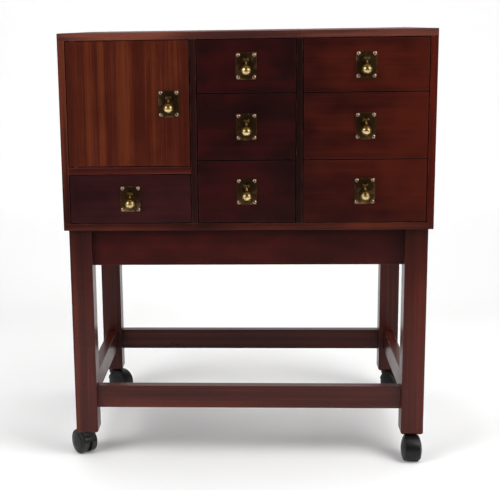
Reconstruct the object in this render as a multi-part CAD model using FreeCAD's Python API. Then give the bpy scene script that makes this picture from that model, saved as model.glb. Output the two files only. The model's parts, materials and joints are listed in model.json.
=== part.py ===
import FreeCAD, Part
import math
import os
from collections import namedtuple

# Mahogany cabinet on a stand. A case with one door and seven drawers rests on an open frame of four
# legs, aprons and stretchers, which rolls on four swivelling twin-wheel casters.
# Sizes are in millimetres. X runs to the right as seen from the front, Y from front to back, Z up.
# The origin is on the floor, under the middle of the overall box.

# Case: the openings of the three columns, the boards and the back
LEFT_OPENING = 253.0
MIDDLE_OPENING = 202.0
RIGHT_OPENING = 253.0
SHELL_THICKNESS = 15.0
DIVIDER_THICKNESS = 13.0
SHELF_THICKNESS = 15.0
CASE_DEPTH = 510.0
BACK_THICKNESS = 6.0
BACK_REBATE = 6.0
TONGUE_THICKNESS = 6.0
TONGUE_LENGTH = 5.0
TONGUE_STOP = 14.0
CASE_EDGE_ROUND = 1.0

# Drawer fronts and door, which lie flush with the front edges of the case
TOP_FRONT_HEIGHT = 106.5
CENTRE_FRONT_HEIGHT = 134.5
BOTTOM_FRONT_HEIGHT = 128.0
LEFT_FRONT_HEIGHT = 100.0
FRONT_THICKNESS = 18.0
DOOR_THICKNESS = 15.0
FRONT_GAP = 1.5
FRONT_EDGE_ROUND = 0.8

# Drawer boxes, lapped into their fronts and hung on wooden runners
DRAWER_LENGTH = 480.0
DRAWER_SIDE_THICKNESS = 12.0
DRAWER_BACK_THICKNESS = 12.0
DRAWER_BOTTOM_THICKNESS = 5.0
DRAWER_SIDE_DROP = 10.0
DRAWER_SIDE_RISE = 3.0
DRAWER_SIDE_LAP = 9.0
DRAWER_BOTTOM_RISE = 6.0
DRAWER_BOTTOM_GROOVE = 5.0
DRAWER_BACK_HOUSING = 4.0
DRAWER_BACK_INSET = 8.0
RUNNER_PROJECTION = 7.5
RUNNER_HEIGHT = 14.0
RUNNER_SETBACK = 30.0
RUNNER_SIDE_PLAY = 0.5

# Door pivots and the spring catch in the divider
PIVOT_INSET = 14.0
PIVOT_SETBACK = 6.0
PIVOT_RADIUS = 3.0
PIVOT_IN_CASE = 8.0
PIVOT_IN_DOOR = 10.0
PIVOT_COLLAR_RADIUS = 5.0
CATCH_RADIUS = 4.0
CATCH_LENGTH = 9.0
CATCH_BALL_RADIUS = 2.5
CATCH_BALL_PROUD = 1.0
CATCH_SETBACK = 8.0

# Brass pulls: a nailed plate with two ears, and a pear-shaped drop that swings on a pin between them
PLATE_WIDTH = 42.0
PLATE_HEIGHT = 54.0
PLATE_THICKNESS = 2.0
PLATE_BEVEL = 0.8
NAIL_SPACING_X = 32.0
NAIL_SPACING_Z = 44.0
NAIL_HEAD_RADIUS = 4.0
NAIL_HEAD_HEIGHT = 2.0
NAIL_SHANK_RADIUS = 1.1
NAIL_LENGTH = 11.0
EAR_THICKNESS = 2.2
EAR_HEIGHT = 9.0
EAR_PLAY = 0.3
PIN_RADIUS = 1.3
PIN_RISE = 12.0
PIN_STANDOFF = 7.5
EYE_WIDTH = 5.6
EYE_RADIUS = 3.5
NECK_RADIUS = 2.2
DROP_LENGTH = 20.5
BALL_RADIUS = 10.5
FLARE_ANGLE = 40.0
DOOR_PULL_INSET = 42.0

# Stand
LEG_WIDTH = 47.0
LEG_LENGTH = 449.0
LEG_EDGE_ROUND = 1.5
LEG_FOOT_CHAMFER = 4.0
STAND_INSET = 9.0
RAIL_THICKNESS = 22.0
RAIL_EDGE_ROUND = 1.0
APRON_HEIGHT = 78.0
STRETCHER_HEIGHT = 49.0
STRETCHER_RISE = 55.0
TENON_THICKNESS = 8.0
TENON_SHOULDER = 9.0
TENON_WALL = 2.5

# Screws that hold the case down on the long aprons
SCREW_HEAD_RADIUS = 4.2
SCREW_HEAD_HEIGHT = 3.0
SCREW_SHANK_RADIUS = 2.2
SCREW_LENGTH = 45.0

# Casters: a steel stem in a pressed socket, a plastic hood and two domed wheels on one axle
CASTER_HEIGHT = 57.0
WHEEL_RADIUS = 25.0
WHEEL_RIM_WIDTH = 14.0
WHEEL_CROWN = 4.2
WHEEL_INNER_ROUND = 1.0
WHEEL_SHOULDER_ROUND = 2.5
WHEEL_HUB_RADIUS = 6.0
WHEEL_HUB_RECESS = 0.8
WHEEL_PLAY = 0.5
HOOD_WEB_THICKNESS = 7.0
HOOD_WEB_RADIUS = 20.0
HOOD_BOSS_RADIUS = 14.0
HOOD_BOSS_HEIGHT = 11.0
FENDER_WIDTH = 30.0
FENDER_GAP = 1.2
FENDER_THICKNESS = 3.0
FENDER_START_ANGLE = -35.0
FENDER_SWEEP_ANGLE = 205.0
CASTER_TRAIL = 19.0
AXLE_RADIUS = 3.0
AXLE_IN_WHEEL = 13.0
STEM_RADIUS = 5.0
STEM_IN_BOSS = 5.0
SOCKET_LENGTH = 38.0
SOCKET_WALL = 1.2
FLANGE_RADIUS = 10.0
FLANGE_THICKNESS = 1.5

# The way each caster trails at rest, in degrees from +X towards +Y
CASTER_ANGLES = {"front_left": 132.0, "front_right": 270.0, "rear_left": 327.0, "rear_right": 312.0}

# Clearances
GLUE_CLEARANCE = 0.1
RUNNING_CLEARANCE = 0.05
PRESS_CLEARANCE = 0.05
SEAT_CLEARANCE = 0.3

V = FreeCAD.Vector
ORIGIN = V(0, 0, 0)
X_AXIS = V(1, 0, 0)
Y_AXIS = V(0, 1, 0)
Z_AXIS = V(0, 0, 1)
QUARTER_TURN = 90.0
FULL_TURN = 360.0
DIAGONAL = math.sqrt(0.5)
SAME_PLACE = 1e-6

# Levels across the case, from left to right
OPENINGS = (LEFT_OPENING, MIDDLE_OPENING, RIGHT_OPENING)
CASE_WIDTH = sum(OPENINGS) + 2 * (SHELL_THICKNESS + DIVIDER_THICKNESS)
CASE_LEFT = -CASE_WIDTH / 2
CASE_RIGHT = CASE_WIDTH / 2
LEFT_INNER = CASE_LEFT + SHELL_THICKNESS
LEFT_DIVIDER = LEFT_INNER + LEFT_OPENING
MIDDLE_INNER = LEFT_DIVIDER + DIVIDER_THICKNESS
RIGHT_DIVIDER = MIDDLE_INNER + MIDDLE_OPENING
RIGHT_INNER = RIGHT_DIVIDER + DIVIDER_THICKNESS
RIGHT_SIDE = RIGHT_INNER + RIGHT_OPENING
UPRIGHTS = ((CASE_LEFT, LEFT_INNER), (LEFT_DIVIDER, MIDDLE_INNER),
            (RIGHT_DIVIDER, RIGHT_INNER), (RIGHT_SIDE, CASE_RIGHT))

# Levels from front to back: the drops reach furthest forward, the case furthest back
PULL_REACH = PLATE_THICKNESS + SEAT_CLEARANCE + 2 * BALL_RADIUS
CASE_FRONT = (PULL_REACH - CASE_DEPTH) / 2
CASE_REAR = CASE_FRONT + CASE_DEPTH
BACK_FACE = CASE_REAR - BACK_THICKNESS
DRAWER_REAR = CASE_FRONT + DRAWER_LENGTH
RUNNER_FRONT = CASE_FRONT + FRONT_THICKNESS + RUNNER_SETBACK

# Levels from the floor up
LEG_FOOT = CASTER_HEIGHT
CASE_BOTTOM = LEG_FOOT + LEG_LENGTH
INNER_BOTTOM = CASE_BOTTOM + SHELL_THICKNESS
STACK = (("bottom", BOTTOM_FRONT_HEIGHT), ("centre", CENTRE_FRONT_HEIGHT), ("top", TOP_FRONT_HEIGHT))
INNER_TOP = INNER_BOTTOM + FRONT_GAP + sum(height + FRONT_GAP for _, height in STACK)
CASE_TOP = INNER_TOP + SHELL_THICKNESS
SHELF_BOTTOM = INNER_BOTTOM + LEFT_FRONT_HEIGHT + 2 * FRONT_GAP
SHELF_TOP = SHELF_BOTTOM + SHELF_THICKNESS

# Door: the outline of its front, its pivot line and the middle of its pull
DOOR_LEFT = LEFT_INNER + FRONT_GAP
DOOR_RIGHT = LEFT_DIVIDER - FRONT_GAP
DOOR_BOTTOM = SHELF_TOP + FRONT_GAP
DOOR_TOP = INNER_TOP - FRONT_GAP
DOOR_MIDDLE = (DOOR_BOTTOM + DOOR_TOP) / 2
PIVOT_X = DOOR_LEFT + PIVOT_INSET
PIVOT_Y = CASE_FRONT + PIVOT_SETBACK
DOOR_PULL_X = DOOR_RIGHT - DOOR_PULL_INSET

# Stand: centre lines of the legs and rails, and the length of the tenons that meet in a leg
LEG_X = CASE_WIDTH / 2 - STAND_INSET - LEG_WIDTH / 2
LEG_FRONT_Y = CASE_FRONT + STAND_INSET + LEG_WIDTH / 2
LEG_REAR_Y = CASE_REAR - STAND_INSET - LEG_WIDTH / 2
LEG_PLACES = {
    "front_left": (-LEG_X, LEG_FRONT_Y),
    "front_right": (LEG_X, LEG_FRONT_Y),
    "rear_left": (-LEG_X, LEG_REAR_Y),
    "rear_right": (LEG_X, LEG_REAR_Y),
}
TENON_LENGTH = (LEG_WIDTH - TENON_THICKNESS) / 2 - TENON_WALL
APRON_BOTTOM = CASE_BOTTOM - APRON_HEIGHT
STRETCHER_BOTTOM = LEG_FOOT + STRETCHER_RISE

# Pulls: the drop leans on the plate, so its pin stands nearer to the plate than the ball's middle
BALL_STANDOFF = PLATE_THICKNESS + SEAT_CLEARANCE + BALL_RADIUS
DROP_TILT = math.degrees(math.asin((BALL_STANDOFF - PIN_STANDOFF) / DROP_LENGTH))

# Casters
HOOD_TOP = LEG_FOOT - FLANGE_THICKNESS - SEAT_CLEARANCE
WHEEL_INNER = HOOD_WEB_THICKNESS / 2 + WHEEL_PLAY
WHEEL_RIM = WHEEL_INNER + WHEEL_RIM_WIDTH
WHEEL_OUTER = WHEEL_RIM + WHEEL_CROWN
FENDER_INNER_RADIUS = WHEEL_RADIUS + FENDER_GAP
FENDER_RADIUS = FENDER_INNER_RADIUS + FENDER_THICKNESS
SOCKET_BORE_RADIUS = STEM_RADIUS + RUNNING_CLEARANCE
SOCKET_RADIUS = SOCKET_BORE_RADIUS + SOCKET_WALL

# A drawer is given by the outline of its front
Drawer = namedtuple("Drawer", "name left right bottom top")


def drawer_list():
    """All drawers: three in the middle column, three in the right one, one under the door."""
    first_bottom = INNER_BOTTOM + FRONT_GAP
    left_top = first_bottom + LEFT_FRONT_HEIGHT
    drawers = []
    columns = (("middle", MIDDLE_INNER, RIGHT_DIVIDER), ("right", RIGHT_INNER, RIGHT_SIDE))
    for column, wall_left, wall_right in columns:
        left, right = wall_left + FRONT_GAP, wall_right - FRONT_GAP
        bottom = first_bottom
        for row, height in STACK:
            drawers.append(Drawer(f"{column}_{row}_drawer", left, right, bottom, bottom + height))
            bottom += height + FRONT_GAP
    drawers.append(Drawer("left_drawer", DOOR_LEFT, DOOR_RIGHT, first_bottom, left_top))
    return drawers


DRAWERS = drawer_list()


# Shapes that several pieces are made from

def block(x0, x1, y0, y1, z0, z1):
    """Box between two levels on each axis, given in either order."""
    corner = V(min(x0, x1), min(y0, y1), min(z0, z1))
    return Part.makeBox(abs(x1 - x0), abs(y1 - y0), abs(z1 - z0), corner)


def rod(start, direction, radius, length):
    return Part.makeCylinder(radius, length, start, direction)


def plane_edges(shape, axis, level):
    """Edges that lie in the plane across an axis at the given level."""
    def in_plane(edge):
        return all(abs(vertex.Point.dot(axis) - level) < SAME_PLACE for vertex in edge.Vertexes)

    return [edge for edge in shape.Edges if in_plane(edge)]


def edges_along(shape, axis):
    """Straight edges that run along an axis."""
    def runs_along(edge):
        span = edge.Vertexes[-1].Point - edge.Vertexes[0].Point
        return span.cross(axis).Length < SAME_PLACE

    return [edge for edge in shape.Edges if runs_along(edge)]


def line(start, end):
    return Part.LineSegment(start, end).toShape()


def arc(start, middle, end):
    return Part.Arc(start, middle, end).toShape()


def turned(edges, axis):
    """Solid turned from a closed outline about an axis through the origin."""
    return Part.Face(Part.Wire(edges)).revolve(ORIGIN, axis, FULL_TURN)


# Case

def upright_tongues(x_left, x_right, grow):
    """Stopped tongues at both ends of an upright board, or with grow, the grooves for them."""
    x_middle = (x_left + x_right) / 2
    half = TONGUE_THICKNESS / 2 + grow
    front = CASE_FRONT + TONGUE_STOP - grow
    reach = TONGUE_LENGTH + grow
    top = block(x_middle - half, x_middle + half, front, BACK_FACE, INNER_TOP, INNER_TOP + reach)
    bottom = block(x_middle - half, x_middle + half, front, BACK_FACE, INNER_BOTTOM, INNER_BOTTOM - reach)
    return [top, bottom]


def shelf_tongues(grow):
    """Stopped tongues at both ends of the compartment's shelf, or the grooves for them."""
    z_middle = (SHELF_BOTTOM + SHELF_TOP) / 2
    half = TONGUE_THICKNESS / 2 + grow
    front = CASE_FRONT + TONGUE_STOP - grow
    reach = TONGUE_LENGTH + grow
    left = block(LEFT_INNER - reach, LEFT_INNER, front, BACK_FACE, z_middle - half, z_middle + half)
    right = block(LEFT_DIVIDER, LEFT_DIVIDER + reach, front, BACK_FACE, z_middle - half, z_middle + half)
    return [left, right]


def back_panel(clearance):
    """Back board in its rebate, or with no clearance, the rebate itself."""
    inset = SHELL_THICKNESS - BACK_REBATE + clearance
    return block(CASE_LEFT + inset, CASE_RIGHT - inset, BACK_FACE, CASE_REAR,
                 CASE_BOTTOM + inset, CASE_TOP - inset)


def flat_board(z0, z1, outer_level):
    """Top or bottom board of the case, eased where it shows, with grooves for the uprights."""
    board = block(CASE_LEFT, CASE_RIGHT, CASE_FRONT, CASE_REAR, z0, z1)
    shown_edges = plane_edges(board, Z_AXIS, outer_level) + edges_along(board, Z_AXIS)
    board = board.makeFillet(CASE_EDGE_ROUND, shown_edges)
    for x_left, x_right in UPRIGHTS:
        board = board.cut(upright_tongues(x_left, x_right, GLUE_CLEARANCE))
    return board.cut(back_panel(0.0))


def case_top():
    return flat_board(INNER_TOP, CASE_TOP, CASE_TOP).cut(pivot_pins(PRESS_CLEARANCE))


def case_bottom():
    return flat_board(CASE_BOTTOM, INNER_BOTTOM, CASE_BOTTOM).cut(stand_screws(PRESS_CLEARANCE))


def case_side(x_left, x_right, outer_level):
    """End board of the case, eased on its two outer upright edges."""
    board = block(x_left, x_right, CASE_FRONT, CASE_REAR, INNER_BOTTOM, INNER_TOP)
    upright = edges_along(board, Z_AXIS)
    outer = [edge for edge in upright if abs(edge.Vertexes[0].X - outer_level) < SAME_PLACE]
    board = board.makeFillet(CASE_EDGE_ROUND, outer).cut(back_panel(0.0))
    return board.fuse(upright_tongues(x_left, x_right, 0.0)).removeSplitter()


def divider(x_left, x_right):
    board = block(x_left, x_right, CASE_FRONT, BACK_FACE, INNER_BOTTOM, INNER_TOP)
    return board.fuse(upright_tongues(x_left, x_right, 0.0)).removeSplitter()


def compartment_shelf():
    """Shelf under the door compartment, whose front edge shows as the rail under the door."""
    board = block(LEFT_INNER, LEFT_DIVIDER, CASE_FRONT, BACK_FACE, SHELF_BOTTOM, SHELF_TOP)
    return board.fuse(shelf_tongues(0.0)).removeSplitter().cut(pivot_pins(PRESS_CLEARANCE))


def runner(drawer, on_left):
    """Strip on the case wall that runs in the groove of a drawer side."""
    wall = drawer.left - FRONT_GAP if on_left else drawer.right + FRONT_GAP
    tip = wall + RUNNER_PROJECTION if on_left else wall - RUNNER_PROJECTION
    bottom = runner_level(drawer)
    return block(wall, tip, RUNNER_FRONT, BACK_FACE, bottom, bottom + RUNNER_HEIGHT)


def runner_level(drawer):
    """Lower edge of a drawer's runners, at the middle of its sides."""
    return (drawer.bottom + DRAWER_SIDE_RISE + drawer.top - DRAWER_SIDE_DROP - RUNNER_HEIGHT) / 2


# Drawers

def runner_groove(drawer, on_left):
    """Space for a runner in a drawer side, open at the back."""
    outer = drawer.left if on_left else drawer.right
    depth = RUNNER_PROJECTION - FRONT_GAP + RUNNER_SIDE_PLAY
    inner = outer + depth if on_left else outer - depth
    bottom = runner_level(drawer)
    return block(outer, inner, RUNNER_FRONT - SEAT_CLEARANCE, DRAWER_REAR,
                 bottom - SEAT_CLEARANCE, bottom + RUNNER_HEIGHT + SEAT_CLEARANCE)


def drawer_side_blank(drawer, on_left, clearance):
    """Drawer side before its grooves, or with clearance, the lap for it in the front."""
    outer = drawer.left if on_left else drawer.right
    inward = DRAWER_SIDE_THICKNESS + clearance
    inner = outer + inward if on_left else outer - inward
    front = CASE_FRONT + FRONT_THICKNESS - DRAWER_SIDE_LAP - clearance
    bottom = drawer.bottom + DRAWER_SIDE_RISE - clearance
    top = drawer.top - DRAWER_SIDE_DROP + clearance
    return block(outer, inner, front, DRAWER_REAR, bottom, top)


def drawer_bottom(drawer, clearance):
    """Bottom board, or with clearance, the groove for it in the front and sides."""
    inset = DRAWER_SIDE_THICKNESS - DRAWER_BOTTOM_GROOVE - clearance
    front = CASE_FRONT + FRONT_THICKNESS - DRAWER_BOTTOM_GROOVE - clearance
    bottom = drawer.bottom + DRAWER_SIDE_RISE + DRAWER_BOTTOM_RISE
    return block(drawer.left + inset, drawer.right - inset, front, DRAWER_REAR,
                 bottom, bottom + DRAWER_BOTTOM_THICKNESS + clearance)


def drawer_back(drawer, clearance):
    """Back board on top of the bottom board, or with clearance, its housings in the sides."""
    inset = DRAWER_SIDE_THICKNESS - DRAWER_BACK_HOUSING - clearance
    rear = DRAWER_REAR - DRAWER_BACK_INSET
    bottom = drawer.bottom + DRAWER_SIDE_RISE + DRAWER_BOTTOM_RISE + DRAWER_BOTTOM_THICKNESS
    return block(drawer.left + inset, drawer.right - inset, rear - DRAWER_BACK_THICKNESS - clearance,
                 rear + clearance, bottom, drawer.top - DRAWER_SIDE_DROP)


def drawer_side(drawer, on_left):
    side = drawer_side_blank(drawer, on_left, 0.0)
    spaces = [
        runner_groove(drawer, on_left),
        drawer_bottom(drawer, GLUE_CLEARANCE),
        drawer_back(drawer, GLUE_CLEARANCE),
    ]
    return side.cut(spaces)


def drawer_box(drawer):
    """Sides, back and bottom of a drawer, as separate boards."""
    sides = [drawer_side(drawer, on_left) for on_left in (True, False)]
    return sides + [drawer_back(drawer, 0.0), drawer_bottom(drawer, 0.0)]


def front_board(left, right, bottom, top, thickness):
    """Board that shows at the front of the case, eased round its face."""
    board = block(left, right, CASE_FRONT, CASE_FRONT + thickness, bottom, top)
    return board.makeFillet(FRONT_EDGE_ROUND, plane_edges(board, Y_AXIS, CASE_FRONT))


def drawer_front(drawer):
    board = front_board(drawer.left, drawer.right, drawer.bottom, drawer.top, FRONT_THICKNESS)
    laps = [drawer_side_blank(drawer, on_left, GLUE_CLEARANCE) for on_left in (True, False)]
    board = board.cut(laps + [drawer_bottom(drawer, GLUE_CLEARANCE)])
    return board.cut(nail_holes(*drawer_middle(drawer)))


def drawer_middle(drawer):
    """Middle of a drawer front, where its pull sits."""
    return (drawer.left + drawer.right) / 2, (drawer.bottom + drawer.top) / 2


# Door

def pivot_pin(z_wall, up, clearance):
    """Pin fixed in the case, with a collar that spaces the door; up points into the door."""
    start = V(PIVOT_X, PIVOT_Y, z_wall - up * (PIVOT_IN_CASE + clearance))
    length = PIVOT_IN_CASE + FRONT_GAP + PIVOT_IN_DOOR + 2 * clearance
    pin = rod(start, Z_AXIS * up, PIVOT_RADIUS + clearance, length)
    collar = rod(V(PIVOT_X, PIVOT_Y, z_wall), Z_AXIS * up, PIVOT_COLLAR_RADIUS, FRONT_GAP - SEAT_CLEARANCE)
    return pin.fuse(collar).removeSplitter()


def pivot_pins(clearance):
    return [pivot_pin(SHELF_TOP, 1, clearance), pivot_pin(INNER_TOP, -1, clearance)]


def pivot_bores():
    """Bores for the pins in the lower and upper edges of the door."""
    radius = PIVOT_RADIUS + RUNNING_CLEARANCE
    depth = PIVOT_IN_DOOR + SEAT_CLEARANCE
    lower = rod(V(PIVOT_X, PIVOT_Y, DOOR_BOTTOM), Z_AXIS, radius, depth)
    upper = rod(V(PIVOT_X, PIVOT_Y, DOOR_TOP), -Z_AXIS, radius, depth)
    return [lower, upper]


def door_panel():
    board = front_board(DOOR_LEFT, DOOR_RIGHT, DOOR_BOTTOM, DOOR_TOP, DOOR_THICKNESS)
    return board.cut(pivot_bores() + nail_holes(DOOR_PULL_X, DOOR_MIDDLE))


def catch_body(clearance):
    """Barrel of the spring catch in the left divider, or with clearance, the hole for it."""
    start = V(LEFT_DIVIDER, CASE_FRONT + CATCH_SETBACK, DOOR_MIDDLE)
    return rod(start, X_AXIS, CATCH_RADIUS + clearance, CATCH_LENGTH + clearance)


def door_catch():
    """Catch barrel with its ball, which stands proud in the gap beside the door."""
    centre_x = LEFT_DIVIDER - CATCH_BALL_PROUD + CATCH_BALL_RADIUS
    centre = V(centre_x, CASE_FRONT + CATCH_SETBACK, DOOR_MIDDLE)
    ball = Part.makeSphere(CATCH_BALL_RADIUS, centre)
    seat = Part.makeSphere(CATCH_BALL_RADIUS + RUNNING_CLEARANCE, centre)
    return [catch_body(0.0).cut(seat), ball]


# Pulls

def nail_places(x, z):
    """Corners of a plate where its nails go."""
    offsets_x = (-NAIL_SPACING_X / 2, NAIL_SPACING_X / 2)
    offsets_z = (-NAIL_SPACING_Z / 2, NAIL_SPACING_Z / 2)
    return [V(x + dx, CASE_FRONT, z + dz) for dx in offsets_x for dz in offsets_z]


def nail_holes(x, z):
    """Holes for the nails of a pull in the board behind it."""
    radius = NAIL_SHANK_RADIUS + PRESS_CLEARANCE
    return [rod(place, Y_AXIS, radius, NAIL_LENGTH + PRESS_CLEARANCE) for place in nail_places(x, z)]


def nail(place):
    """Dome-headed nail through the plate into the wood."""
    ball_radius = (NAIL_HEAD_RADIUS ** 2 + NAIL_HEAD_HEIGHT ** 2) / (2 * NAIL_HEAD_HEIGHT)
    start_angle = math.degrees(math.asin(1 - NAIL_HEAD_HEIGHT / ball_radius))
    plate_face = place - Y_AXIS * PLATE_THICKNESS
    ball_centre = plate_face + Y_AXIS * (ball_radius - NAIL_HEAD_HEIGHT)
    head = Part.makeSphere(ball_radius, ball_centre, -Y_AXIS, start_angle, QUARTER_TURN, FULL_TURN)
    shank = rod(plate_face, Y_AXIS, NAIL_SHANK_RADIUS, PLATE_THICKNESS + NAIL_LENGTH)
    return head.fuse(shank).removeSplitter()


def ear(x_middle, z):
    """One ear of the yoke, rounded about the pin."""
    left = x_middle - EAR_THICKNESS / 2
    face = CASE_FRONT - PLATE_THICKNESS
    pin_y = CASE_FRONT - PIN_STANDOFF
    arm = block(left, left + EAR_THICKNESS, pin_y, face, z - EAR_HEIGHT / 2, z + EAR_HEIGHT / 2)
    return arm.fuse(rod(V(left, pin_y, z), X_AXIS, EAR_HEIGHT / 2, EAR_THICKNESS))


def pull_plate(x, z):
    """Plate with its two ears, the pin between them and four nails, as separate pieces."""
    face = CASE_FRONT - PLATE_THICKNESS
    plate = block(x - PLATE_WIDTH / 2, x + PLATE_WIDTH / 2, face, CASE_FRONT,
                  z - PLATE_HEIGHT / 2, z + PLATE_HEIGHT / 2)
    plate = plate.makeChamfer(PLATE_BEVEL, plane_edges(plate, Y_AXIS, face))
    ear_offset = EYE_WIDTH / 2 + EAR_PLAY + EAR_THICKNESS / 2
    pin_z = z + PIN_RISE
    ears = [ear(x + side * ear_offset, pin_z) for side in (-1, 1)]
    plate = plate.fuse(ears).removeSplitter()
    pin_reach = ear_offset + EAR_THICKNESS / 2
    pin_start = V(x - pin_reach, CASE_FRONT - PIN_STANDOFF, pin_z)
    pin = rod(pin_start, X_AXIS, PIN_RADIUS, 2 * pin_reach)
    pin_hole = rod(pin_start, X_AXIS, PIN_RADIUS + PRESS_CLEARANCE, 2 * pin_reach)
    shank_radius = NAIL_SHANK_RADIUS + PRESS_CLEARANCE
    places = nail_places(x, z)
    shank_holes = [rod(place, -Y_AXIS, shank_radius, PLATE_THICKNESS) for place in places]
    return [plate.cut([pin_hole] + shank_holes), pin] + [nail(place) for place in places]


def pull_drop(x, z):
    """Pear-shaped drop: an eye, a neck that flares out, and a ball that leans on the plate."""
    flare = math.radians(FLARE_ANGLE)
    ball_z = -DROP_LENGTH
    tangent = V(BALL_RADIUS * math.cos(flare), 0, ball_z + BALL_RADIUS * math.sin(flare))
    flare_start = V(NECK_RADIUS, 0, tangent.z + (tangent.x - NECK_RADIUS) / math.tan(flare))
    neck_top = V(NECK_RADIUS, 0, 0)
    side = V(BALL_RADIUS, 0, ball_z)
    tip = V(0, 0, ball_z - BALL_RADIUS)
    pear = turned([
        line(ORIGIN, neck_top),
        line(neck_top, flare_start),
        line(flare_start, tangent),
        arc(tangent, side, tip),
        line(tip, ORIGIN),
    ], Z_AXIS)
    eye_start = V(-EYE_WIDTH / 2, 0, 0)
    drop = pear.fuse(rod(eye_start, X_AXIS, EYE_RADIUS, EYE_WIDTH)).removeSplitter()
    drop = drop.cut(rod(eye_start, X_AXIS, PIN_RADIUS + RUNNING_CLEARANCE, EYE_WIDTH))
    drop.rotate(ORIGIN, X_AXIS, -DROP_TILT)
    drop.translate(V(x, CASE_FRONT - PIN_STANDOFF, z + PIN_RISE))
    return drop


# Stand

def rail(length, z0, height, centre, along_x):
    """Apron or stretcher between two legs, with a tenon at each end."""
    half = length / 2
    body = block(-half, half, -RAIL_THICKNESS / 2, RAIL_THICKNESS / 2, z0, z0 + height)
    body = body.makeFillet(RAIL_EDGE_ROUND, edges_along(body, X_AXIS))
    return placed(body.fuse(tenons(length, z0, height, 0.0)).removeSplitter(), centre, along_x)


def tenons(length, z0, height, grow):
    """Tenons of a rail that lies along X, or with grow, the mortises for them."""
    boxes = []
    for end in (-length / 2, length / 2):
        tip = end + math.copysign(TENON_LENGTH + grow, end)
        boxes.append(block(end, tip, -TENON_THICKNESS / 2 - grow, TENON_THICKNESS / 2 + grow,
                           z0 + TENON_SHOULDER - grow, z0 + height - TENON_SHOULDER + grow))
    return boxes


def placed(shape, centre, along_x):
    """A copy of a rail's shape at its centre, turned where the rail runs from front to back."""
    copy = shape.copy()
    if not along_x:
        copy.rotate(ORIGIN, Z_AXIS, QUARTER_TURN)
    copy.translate(V(centre[0], centre[1], 0))
    return copy


def rail_places():
    """Length, centre and direction of the rails of one ring round the stand."""
    long_length = 2 * LEG_X - LEG_WIDTH
    side_length = LEG_REAR_Y - LEG_FRONT_Y - LEG_WIDTH
    middle_y = (LEG_FRONT_Y + LEG_REAR_Y) / 2
    long_rails = [(long_length, (0.0, y), True) for y in (LEG_FRONT_Y, LEG_REAR_Y)]
    side_rails = [(side_length, (x, middle_y), False) for x in (-LEG_X, LEG_X)]
    return long_rails, side_rails


def ring_rails(z0, height):
    """Long and side rails of one ring."""
    long_places, side_places = rail_places()
    long_rails = [rail(length, z0, height, centre, along_x) for length, centre, along_x in long_places]
    side_rails = [rail(length, z0, height, centre, along_x) for length, centre, along_x in side_places]
    return long_rails, side_rails


def mortises():
    """Mortises for every tenon of both rings."""
    spaces = []
    for z0, height in ((APRON_BOTTOM, APRON_HEIGHT), (STRETCHER_BOTTOM, STRETCHER_HEIGHT)):
        for places in rail_places():
            for length, centre, along_x in places:
                for tenon in tenons(length, z0, height, GLUE_CLEARANCE):
                    spaces.append(placed(tenon, centre, along_x))
    return spaces


def leg(x, y):
    """Square leg with a chamfered foot, mortises and a bore for its caster's socket."""
    half = LEG_WIDTH / 2
    square = block(x - half, x + half, y - half, y + half, LEG_FOOT, CASE_BOTTOM)
    footed = square.makeChamfer(LEG_FOOT_CHAMFER, plane_edges(square, Z_AXIS, LEG_FOOT))
    post = square.makeFillet(LEG_EDGE_ROUND, edges_along(square, Z_AXIS)).common(footed)
    bore = rod(V(x, y, LEG_FOOT), Z_AXIS, SOCKET_RADIUS + PRESS_CLEARANCE, SOCKET_LENGTH + PRESS_CLEARANCE)
    return post.cut(mortises() + [bore])


def stand_screw(x, y, clearance):
    """Countersunk screw from inside the case down into an apron, or with clearance, its hole."""
    top = INNER_BOTTOM
    cone = Part.makeCone(SCREW_SHANK_RADIUS + clearance, SCREW_HEAD_RADIUS + clearance, SCREW_HEAD_HEIGHT,
                         V(x, y, top - SCREW_HEAD_HEIGHT))
    length = SCREW_LENGTH - SCREW_HEAD_HEIGHT + clearance
    shank = rod(V(x, y, top - SCREW_HEAD_HEIGHT), -Z_AXIS, SCREW_SHANK_RADIUS + clearance, length)
    return cone.fuse(shank).removeSplitter()


def stand_screws(clearance):
    """A row of screws over each long apron, one under each column of the case."""
    columns = ((LEFT_INNER, LEFT_DIVIDER), (MIDDLE_INNER, RIGHT_DIVIDER), (RIGHT_INNER, RIGHT_SIDE))
    middles = [(left + right) / 2 for left, right in columns]
    return [stand_screw(x, y, clearance) for y in (LEG_FRONT_Y, LEG_REAR_Y) for x in middles]


# Casters: built with the stem on the Z axis and the wheels trailing along +X

def caster_socket(x, y):
    """Flanged sleeve in the foot of a leg."""
    bottom = LEG_FOOT - FLANGE_THICKNESS
    sleeve = rod(V(x, y, LEG_FOOT), Z_AXIS, SOCKET_RADIUS, SOCKET_LENGTH)
    flange = rod(V(x, y, bottom), Z_AXIS, FLANGE_RADIUS, FLANGE_THICKNESS)
    bore = rod(V(x, y, bottom), Z_AXIS, SOCKET_BORE_RADIUS, FLANGE_THICKNESS + SOCKET_LENGTH)
    return sleeve.fuse(flange).removeSplitter().cut(bore)


def axle_rod(half_length, radius):
    """Rod along the axle, as long to each side of the hood's middle."""
    return rod(V(CASTER_TRAIL, -half_length, WHEEL_RADIUS), Y_AXIS, radius, 2 * half_length)


def fender_sector(half_width, radius):
    """Part of a disc about the axle, over the angle that the fender covers."""
    sector = Part.makeCylinder(radius, 2 * half_width, ORIGIN, Z_AXIS, FENDER_SWEEP_ANGLE)
    sector.rotate(ORIGIN, Z_AXIS, FENDER_START_ANGLE)
    sector.translate(V(0, 0, -half_width))
    sector.rotate(ORIGIN, X_AXIS, QUARTER_TURN)
    sector.translate(V(CASTER_TRAIL, 0, WHEEL_RADIUS))
    return sector


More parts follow.
